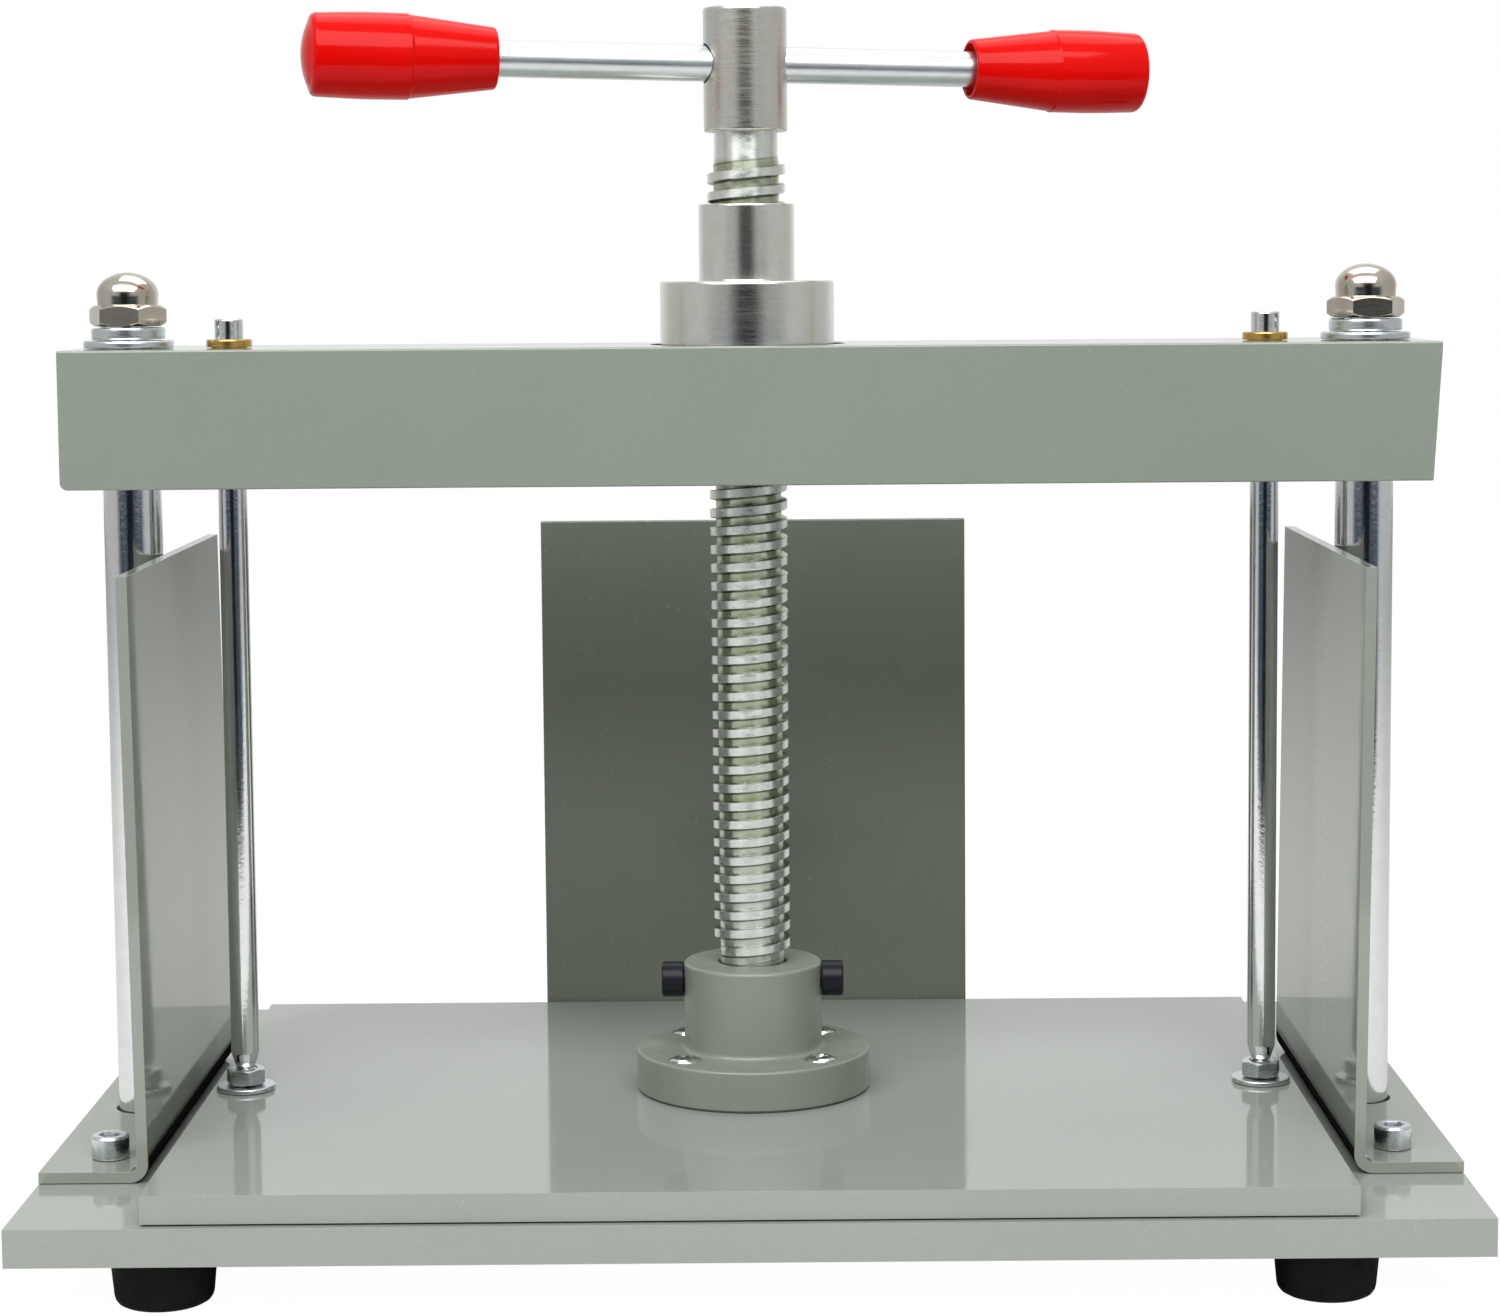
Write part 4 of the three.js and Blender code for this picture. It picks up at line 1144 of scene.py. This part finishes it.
def add_tommy_bar():
    profile = [(0, -BAR_HALF), (5, -BAR_HALF, 0.8), (5, BAR_HALF, 0.8), (0, BAR_HALF)]
    piece("tommy_bar", turned("tommy_bar", profile, 64), SATIN, "bar",
          at=on_bar(0) @ UP_TO_X)


def grip():
    """A grip along +Z from its inner end: a taper, then a barrel with a slightly domed end."""
    bore, mouth = 5.2, 6.6
    bore_end = BAR_HALF - GRIP_START + 0.2
    step = 24.1
    edge_radius, edge_height = 11.3, GRIP_LENGTH - 4.1
    round_in, round_up = 1.7, 1.9
    inside = eased([(0, bore_end), (bore, bore_end), (bore, 2.8, 0.2), (mouth, 2.6, 0.3),
                    (mouth, 0, 0.4)])
    outside = eased([(mouth, 0), (8.4, 0, 0.9), (11.35, step - 0.35, 0.3), (11.65, step, 0.3),
                     (11.75, step + 12, 5), (edge_radius, edge_height, 1.4)])
    rings = inside[:-1] + outside[1:-1]
    round_steps = 9
    for k in range(1, round_steps):
        angle = math.radians(90 * k / round_steps)
        rings.append((edge_radius - round_in + round_in * math.cos(angle),
                      edge_height + round_up * math.sin(angle)))
    cap_radius, cap_height = edge_radius - round_in, edge_height + round_up
    rise = GRIP_LENGTH - cap_height
    cap_steps = 12
    for k in range(1, cap_steps):
        share = k / cap_steps
        rings.append((cap_radius * (1 - share), cap_height + rise * (1 - (1 - share) ** 2)))
    rings.append((0, GRIP_LENGTH))
    return revolved("grip", rings, 96)


add_screw_head()
add_tommy_bar()
for side, sign in SIDES:
    piece(f"grip_{side}", grip(), PLASTIC, "bar",
          at=on_bar(sign * GRIP_START) @ spin(sign * 90, "Y"))


# ---- Studio ----


def make_floor():
    """A white table under the press. It glows a little, so that only a faint shadow shows."""
    width, depth, front = 4200, 3200, -570
    data = prism("table", rectangle(width, depth, (0, front + depth / 2)), -2, 0)
    table = bpy.data.objects.new("table", data)
    scene.collection.objects.link(table)
    look = bpy.data.materials.new("white_table")
    t = Nodes(look)
    t.tree.nodes.clear()
    diffuse = t.node("BsdfDiffuse", {"Color": (0.7, 0.7, 0.69, 1)})
    glow = t.node("Emission", {"Color": (1, 1, 1, 1), "Strength": 1.06})
    share = t.math("MULTIPLY", t.node("LightPath").outputs["Is Camera Ray"], 0.93)
    mix = t.node("MixShader", {"Fac": share, 1: diffuse.outputs[0], 2: glow.outputs[0]})
    t.node("OutputMaterial", {"Surface": mix.outputs[0]})
    data.materials.append(look)


def make_world():
    """A pale room, dark in front where a viewer stands, and dark and bluish low in front."""
    world = bpy.data.worlds.new("studio")
    scene.world = world
    t = Nodes(world)
    t.tree.nodes.clear()

    def between(value, low, high):
        return t.remap(value, low, high, kind="SMOOTHSTEP")

    direction = t.node("TexCoord").outputs["Generated"]
    x, y, z = t.node("SeparateXYZ", {"Vector": direction}).outputs
    azimuth = t.math("ARCTAN2", t.math("ABSOLUTE", x), t.math("MULTIPLY", y, -1))
    ahead = between(azimuth, math.radians(30), math.radians(9))
    not_high = between(z, 0.42, 0.2)
    wide_ahead = between(azimuth, math.radians(60), math.radians(40))
    below = t.math("MULTIPLY", t.math("MULTIPLY", wide_ahead, between(z, -0.02, -0.06)), 0.88)
    gap = t.math("MAXIMUM", t.math("MULTIPLY", ahead, not_high), below)
    up = between(z, 0.2, 0.95)
    behind = between(y, 0.5, 0.95)
    level = t.math("ADD", 0.56, t.math("MULTIPLY", up, 0.15))
    level = t.math("ADD", level, t.math("MULTIPLY", behind, 0.3))
    level = t.math("MULTIPLY", level, t.math("SUBTRACT", 1, t.math("MULTIPLY", gap, 0.97)))
    seen = t.node("LightPath")
    soft = t.math("SUBTRACT", 1, t.math("MULTIPLY", seen.outputs["Is Diffuse Ray"], 0.4))
    level = t.math("MULTIPLY", level, soft)
    tones = {"Factor": below, "A": (0.99, 1.0, 0.995, 1), "B": (0.45, 0.7, 1.0, 1)}
    tone = t.node("Mix", tones, data_type="RGBA").outputs["Result"]
    room = t.node("Background", {"Color": tone, "Strength": level})
    backdrop = t.node("Background", {"Color": (1, 1, 1, 1), "Strength": 1.0})
    shaders = {"Fac": seen.outputs["Is Camera Ray"], 1: room.outputs[0], 2: backdrop.outputs[0]}
    t.node("OutputWorld", {"Surface": t.node("MixShader", shaders).outputs[0]})


def softbox(name, position, size, power):
    """A soft rectangular light at a place in metres, aimed at the middle of the press."""
    light = bpy.data.lights.new(name, "AREA")
    light.shape = "RECTANGLE"
    light.size, light.size_y = size
    light.energy = power
    lamp = bpy.data.objects.new(name, light)
    scene.collection.objects.link(lamp)
    lamp.location = position
    aim = Vector((0, 0, 0.12)) - Vector(position)
    lamp.rotation_mode = "QUATERNION"
    lamp.rotation_quaternion = aim.to_track_quat("-Z", "Y")


make_floor()
make_world()
softbox("key_above", (-0.15, -1.0, 1.25), (2.2, 1.0), 34)
softbox("fill_top", (0.1, 0.5, 1.6), (1.4, 1.0), 8)


# ---- Camera ----

CAMERA_PLACE = Vector((9.66, -942.4, 264.3)) * MM
CAMERA_DOWN = 5.306  # degrees, as the yaw and the roll
CAMERA_YAW = -0.15
CAMERA_ROLL = -0.417
FOCAL_LENGTH = 79.255
SENSOR_WIDTH = 36
CAMERA_SHIFT = (-0.02808, -0.05364)
camera_data = bpy.data.cameras.new("camera")
camera_data.sensor_width = SENSOR_WIDTH
camera_data.lens = FOCAL_LENGTH
camera_data.shift_x, camera_data.shift_y = CAMERA_SHIFT
camera_data.clip_start = 0.05
camera_data.clip_end = 50
camera = bpy.data.objects.new("camera", camera_data)
scene.collection.objects.link(camera)
facing = spin(CAMERA_YAW) @ spin(90 - CAMERA_DOWN, "X") @ spin(CAMERA_ROLL)
camera.matrix_world = Matrix.Translation(CAMERA_PLACE) @ facing
scene.camera = camera
scene.view_settings.view_transform = "Standard"
